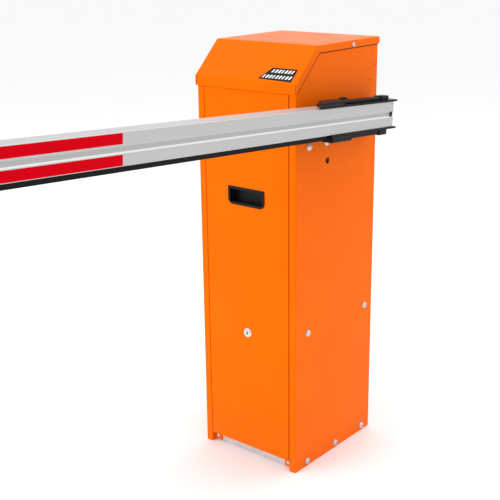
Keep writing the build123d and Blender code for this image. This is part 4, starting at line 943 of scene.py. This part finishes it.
@dataclass
class CamLock:
    """The cam lock: a threaded barrel with a domed chrome face, and a turning plug whose keyhole is a
    dark plate of painted shade.

    Attributes:
        height: The lock's height over the ground.
        front: The place of the door's face.
        face_radius: The face's radius.
        barrel_radius: The barrel's radius.
        bore_radius: The radius of the plug's bore.
        barrel_length: The barrel's length behind the door's face.
        thread_depth: The depth of the thread.
        thread_rise: The length of a thread's flank along the barrel.
        turns: The number of turns of the thread.
        keyhole_shade: The width, depth and height of the dark plate that paints the shade in the
            keyhole.
        keyhole_shade_ahead: How far the plate's middle lies before the door's face.
        keyhole_shade_drop: How far it lies under the lock's middle.
    """

    height: float = 0.327
    front: float = -0.1575
    face_radius: float = 0.0115
    barrel_radius: float = 0.0093
    bore_radius: float = 0.00605
    barrel_length: float = 0.024
    thread_depth: float = 0.0006
    thread_rise: float = 0.0008
    turns: int = 14
    keyhole_shade: tuple[float, float, float] = (0.0036, 0.0006, 0.0078)
    keyhole_shade_ahead: float = 0.0036
    keyhole_shade_drop: float = 0.0005

    def outline(self) -> list[tuple[float, float]]:
        """Gives the barrel's outline, as radius and height over the door's face."""
        root = self.barrel_radius - self.thread_depth
        first, last = -0.0015, -self.barrel_length
        thread = []
        for turn in range(self.turns):
            height = first - (self.barrel_length - 0.0020) * turn / self.turns
            thread += [(root, height), (self.barrel_radius, height - self.thread_rise)]
        return [
            (self.bore_radius, last), (self.bore_radius, 0.0012), (0.0070, 0.0018),
            (0.0078, 0.0019), (0.0082, 0.0027), (0.0086, 0.0030), (0.0104, 0.0028),
            (self.face_radius - 0.0003, 0.0020), (self.face_radius, 0.0010),
            (self.face_radius, 0.0), (root, 0.0), *thread, (root, last),
        ]

    def build(self) -> None:
        """Builds the barrel, the plug, the dark plate that paints the shade in its keyhole, the cam
        and the nut.
        """
        forward = Matrix.Rotation(math.pi / 2, 4, "X")
        body = bmesh.new()
        lathe(
            body, self.outline(), Matrix.Translation((0.0, self.front, self.height)) @ forward, 72
        )
        seat(finish_mesh("lock_barrel", body, CHROME), Body.DOOR, CHROME, "lock_body")
        FormedPart("lock_plug", Body.LOCK, CHROME, 0.0002).build()
        # A black plate on the plug's face stands for the shade in the keyhole: painted shade.
        plate = bmesh.new()
        middle = (0.0, self.front - self.keyhole_shade_ahead, self.height - self.keyhole_shade_drop)
        block(plate, Matrix.Translation(middle), self.keyhole_shade, 0.0002)
        seat(finish_mesh("lock_keyhole_shade", plate, BLACK_PLASTIC), Body.LOCK, BLACK_PLASTIC)
        for node in ("lock_cam", "lock_cam_screw"):
            FormedPart(node, Body.LOCK, ZINC, 0.0002).build()
        FormedPart("lock_nut", Body.DOOR, ZINC, 0.0003).build()


@dataclass
class Door:
    """The front door with its pull and cam lock."""

    def build(self) -> None:
        """Builds the door, the pull and the lock."""
        FormedPart("door_panel", Body.DOOR, ORANGE, 0.0004).build()
        FormedPart("door_handle", Body.DOOR, BLACK_PLASTIC, 0.0004).build()
        CamLock().build()


@dataclass
class Motor:
    """The finned motor barrel with its end rings.

    Attributes:
        middle: The middle of the barrel's upper end.
        radius: The barrel's radius over the fins.
        length: The barrel's length.
        fins: The number of cooling fins.
        fin: A fin's height and thickness.
        offset: How far the middle of a fin stands out from the core.
        core_inset: How far the core lies under the radius.
        rim_inset: How far the end rings lie under the radius.
        gap: The length of both ends that the fins leave free.
    """

    middle: tuple[float, float, float]
    radius: float = 0.040
    length: float = 0.130
    fins: int = 32
    fin: tuple[float, float] = (0.0052, 0.0018)
    offset: float = 0.0017
    core_inset: float = 0.0045
    rim_inset: float = 0.0012
    gap: float = 0.022

    def build(self) -> None:
        """Builds the barrel, its rings and its fins."""
        place = Matrix.Translation(self.middle)
        shell = bmesh.new()
        core, rim = self.radius - self.core_inset, self.radius - self.rim_inset
        outline = [
            (0.0, 0.0), (rim, 0.0), (rim, -0.0080), (rim - 0.0010, -0.0090), (core, -0.0095),
            (core, -self.length + 0.0095), (rim - 0.0010, -self.length + 0.0090),
            (rim, -self.length + 0.0080), (rim, -self.length), (0.0, -self.length),
        ]
        lathe(shell, outline, place, 64)
        size = (*self.fin, self.length - self.gap)
        out = Matrix.Translation((core + self.offset, 0.0, -self.length / 2))
        for fin in range(self.fins):
            turn = Matrix.Rotation(math.tau * fin / self.fins, 4, "Z")
            block(shell, place @ turn @ out, size, 0.0006)
        seat(finish_mesh("motor_barrel", shell, CAST), Body.CABINET, CAST, "motor_housing")


@dataclass
class Drive:
    """The gearmotor, its frame plates, the bearings and the geared shaft."""

    def build(self) -> None:
        """Builds the still parts and the turning parts."""
        still = (
            ("drive_plate", MACHINED), ("inner_plate", MACHINED), ("cage_spacers", MACHINED),
            ("outer_bearing", MACHINED), ("inner_bearing", MACHINED), ("stop_brackets", MACHINED),
            ("outer_bearing_housing", CAST), ("inner_bearing_housing", CAST),
            ("gearbox_housing", CAST), ("motor_cover", BLACK_PLASTIC),
            ("spacer_bolts", ZINC), ("bearing_bolts", ZINC), ("limit_sensors", ZINC),
            ("pinion_bush", BRONZE), ("balance_spring", SPRING), ("stop_bumpers", RUBBER),
            ("shaft_escutcheon", BLACK_PLASTIC),
        )
        for node, finish in still:
            FormedPart(node, Body.CABINET, finish, 0.0003).build()
        low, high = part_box("motor_housing")
        Motor(((low.x + high.x) / 2, (low.y + high.y) / 2, high.z)).build()
        FormedPart("drive_pinion", Body.PINION, MACHINED, 0.0002).build()
        for node in ("main_shaft", "sector_gear", "spring_lever", "hub_flange"):
            FormedPart(node, Body.BOOM, MACHINED, 0.0003).build()
        FormedPart("sensor_flag", Body.BOOM, ZINC_SHEET, 0.0002).build()


@dataclass
class Boom:
    """The boom profile with its film, rubber and end pieces, and the holder that grips it."""

    def build(self) -> None:
        """Builds the boom and its holder."""
        FormedPart("boom_profile", Body.BOOM, ALUMINIUM, 0.0002, 15.0).build()
        FormedPart("boom_strips", Body.BOOM, FILM).build()
        FormedPart("boom_rubber", Body.BOOM, RUBBER, 0.0003).build()
        FormedPart("boom_end_plug", Body.BOOM, BLACK_PLASTIC, 0.0003).build()
        FormedPart("boom_tip_cap", Body.BOOM, BLACK_PLASTIC, 0.0006).build()
        for node in ("boom_holder", "upper_clamp_bar", "lower_clamp_bar"):
            FormedPart(node, Body.BOOM, BLACK_PAINT, 0.0004).build()
        FormedPart("clamp_bar_bolts", Body.BOOM, ZINC, 0.0003).build()


@dataclass
class Electrics:
    """The control box, the rail with its breaker, and the terminals."""

    def build(self) -> None:
        """Builds the boxes and the board."""
        for node in ("control_box", "control_box_lid", "circuit_breaker", "terminal_block"):
            FormedPart(node, Body.CABINET, GREY_PLASTIC, 0.0004).build()
        FormedPart("control_board", Body.CABINET, BOARD, 0.0001).build()
        FormedPart("breaker_toggle", Body.TOGGLE, BLACK_PLASTIC, 0.0003).build()


# ---------------------------------------------------------------- studio
@dataclass
class Camera:
    """The camera, as its turn round the cabinet and its place.

    Attributes:
        place: Where it stands, in metres.
        azimuth: The turn from the front towards the right, in degrees.
        elevation: How far it looks down, in degrees.
        roll: Its lean, in degrees.
        lens: The focal length on a 36 mm sensor.
    """

    place: tuple[float, float, float] = (1.4082, -1.8431, 1.2243)
    azimuth: float = 39.693
    elevation: float = 17.487
    roll: float = -0.727
    lens: float = 71.68

    def build(self) -> None:
        """Builds the camera and makes it the scene's."""
        data = bpy.data.cameras.new("view_camera")
        data.sensor_width = 36.0
        data.lens = self.lens
        camera = bpy.data.objects.new("view_camera", data)
        turn = (
            Matrix.Rotation(math.radians(self.azimuth), 4, "Z")
            @ Matrix.Rotation(math.radians(90.0 - self.elevation), 4, "X")
            @ Matrix.Rotation(math.radians(self.roll), 4, "Z")
        )
        camera.matrix_world = Matrix.Translation(self.place) @ turn
        bpy.context.scene.collection.objects.link(camera)
        bpy.context.scene.camera = camera


@dataclass
class Studio:
    """A pale floor, a white surround and large soft lamps.

    Attributes:
        reach: Half the floor's width.
        surround: The strength of the surround's light.
        aim: What the lamps point at.
        lamps: Each lamp's name, its place, the length of its side and its power in watts.
    """

    reach: float = 30.0
    surround: float = 1.0
    aim: tuple[float, float, float] = (0.0, 0.0, 0.55)
    lamps: tuple[tuple[str, tuple[float, float, float], float, float], ...] = (
        ("key_lamp", (-1.6, -3.0, 2.4), 2.2, 46.0),
        ("top_lamp", (0.3, 1.2, 3.4), 2.4, 34.0),
        ("side_lamp", (3.4, -0.6, 1.4), 2.0, 2.0),
    )

    def lamp(self, name: str, place: Vector, size: float, power: float) -> None:
        """Adds one square soft lamp.

        Args:
            name: Its name.
            place: Where it hangs.
            size: The length of its side.
            power: Its power in watts.
        """
        data = bpy.data.lights.new(name, "AREA")
        data.size = size
        data.energy = power
        lamp = bpy.data.objects.new(name, data)
        lamp.location = place
        lamp.rotation_euler = (Vector(self.aim) - place).to_track_quat("-Z", "Y").to_euler()
        bpy.context.scene.collection.objects.link(lamp)

    def build(self) -> None:
        """Builds the floor, the surround and the lamps."""
        mesh = bmesh.new()
        bmesh.ops.create_grid(mesh, x_segments=4, y_segments=4, size=self.reach)
        data = bpy.data.meshes.new("floor")
        mesh.to_mesh(data)
        mesh.free()
        graph = ShaderGraph("floor_paper")
        graph.set(
            Base_Color=graph.mix(graph.noise(2.0, 3.0), shade(250, 250, 250), shade(247, 247, 248)),
            Roughness=0.9,
        )
        data.materials.append(graph.material)
        floor = bpy.data.objects.new("floor", data)
        bpy.context.scene.collection.objects.link(floor)
        world = bpy.data.worlds.new("surround")
        world.use_nodes = True
        background = world.node_tree.nodes["Background"]
        background.inputs["Color"].default_value = (1.0, 1.0, 1.0, 1.0)
        background.inputs["Strength"].default_value = self.surround
        bpy.context.scene.world = world
        bpy.context.scene.view_settings.view_transform = "Standard"
        for name, place, size, power in self.lamps:
            self.lamp(name, Vector(place), size, power)


def main() -> None:
    """Builds the gate, the studio and the camera."""
    logging.basicConfig(level=logging.INFO, format="%(message)s")
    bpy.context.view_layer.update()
    for assembly in (Cabinet(), Door(), Drive(), Boom(), Electrics(), Studio(), Camera()):
        assembly.build()
        LOG.info("%s is built", type(assembly).__name__)


if __name__ == "__main__":
    main()
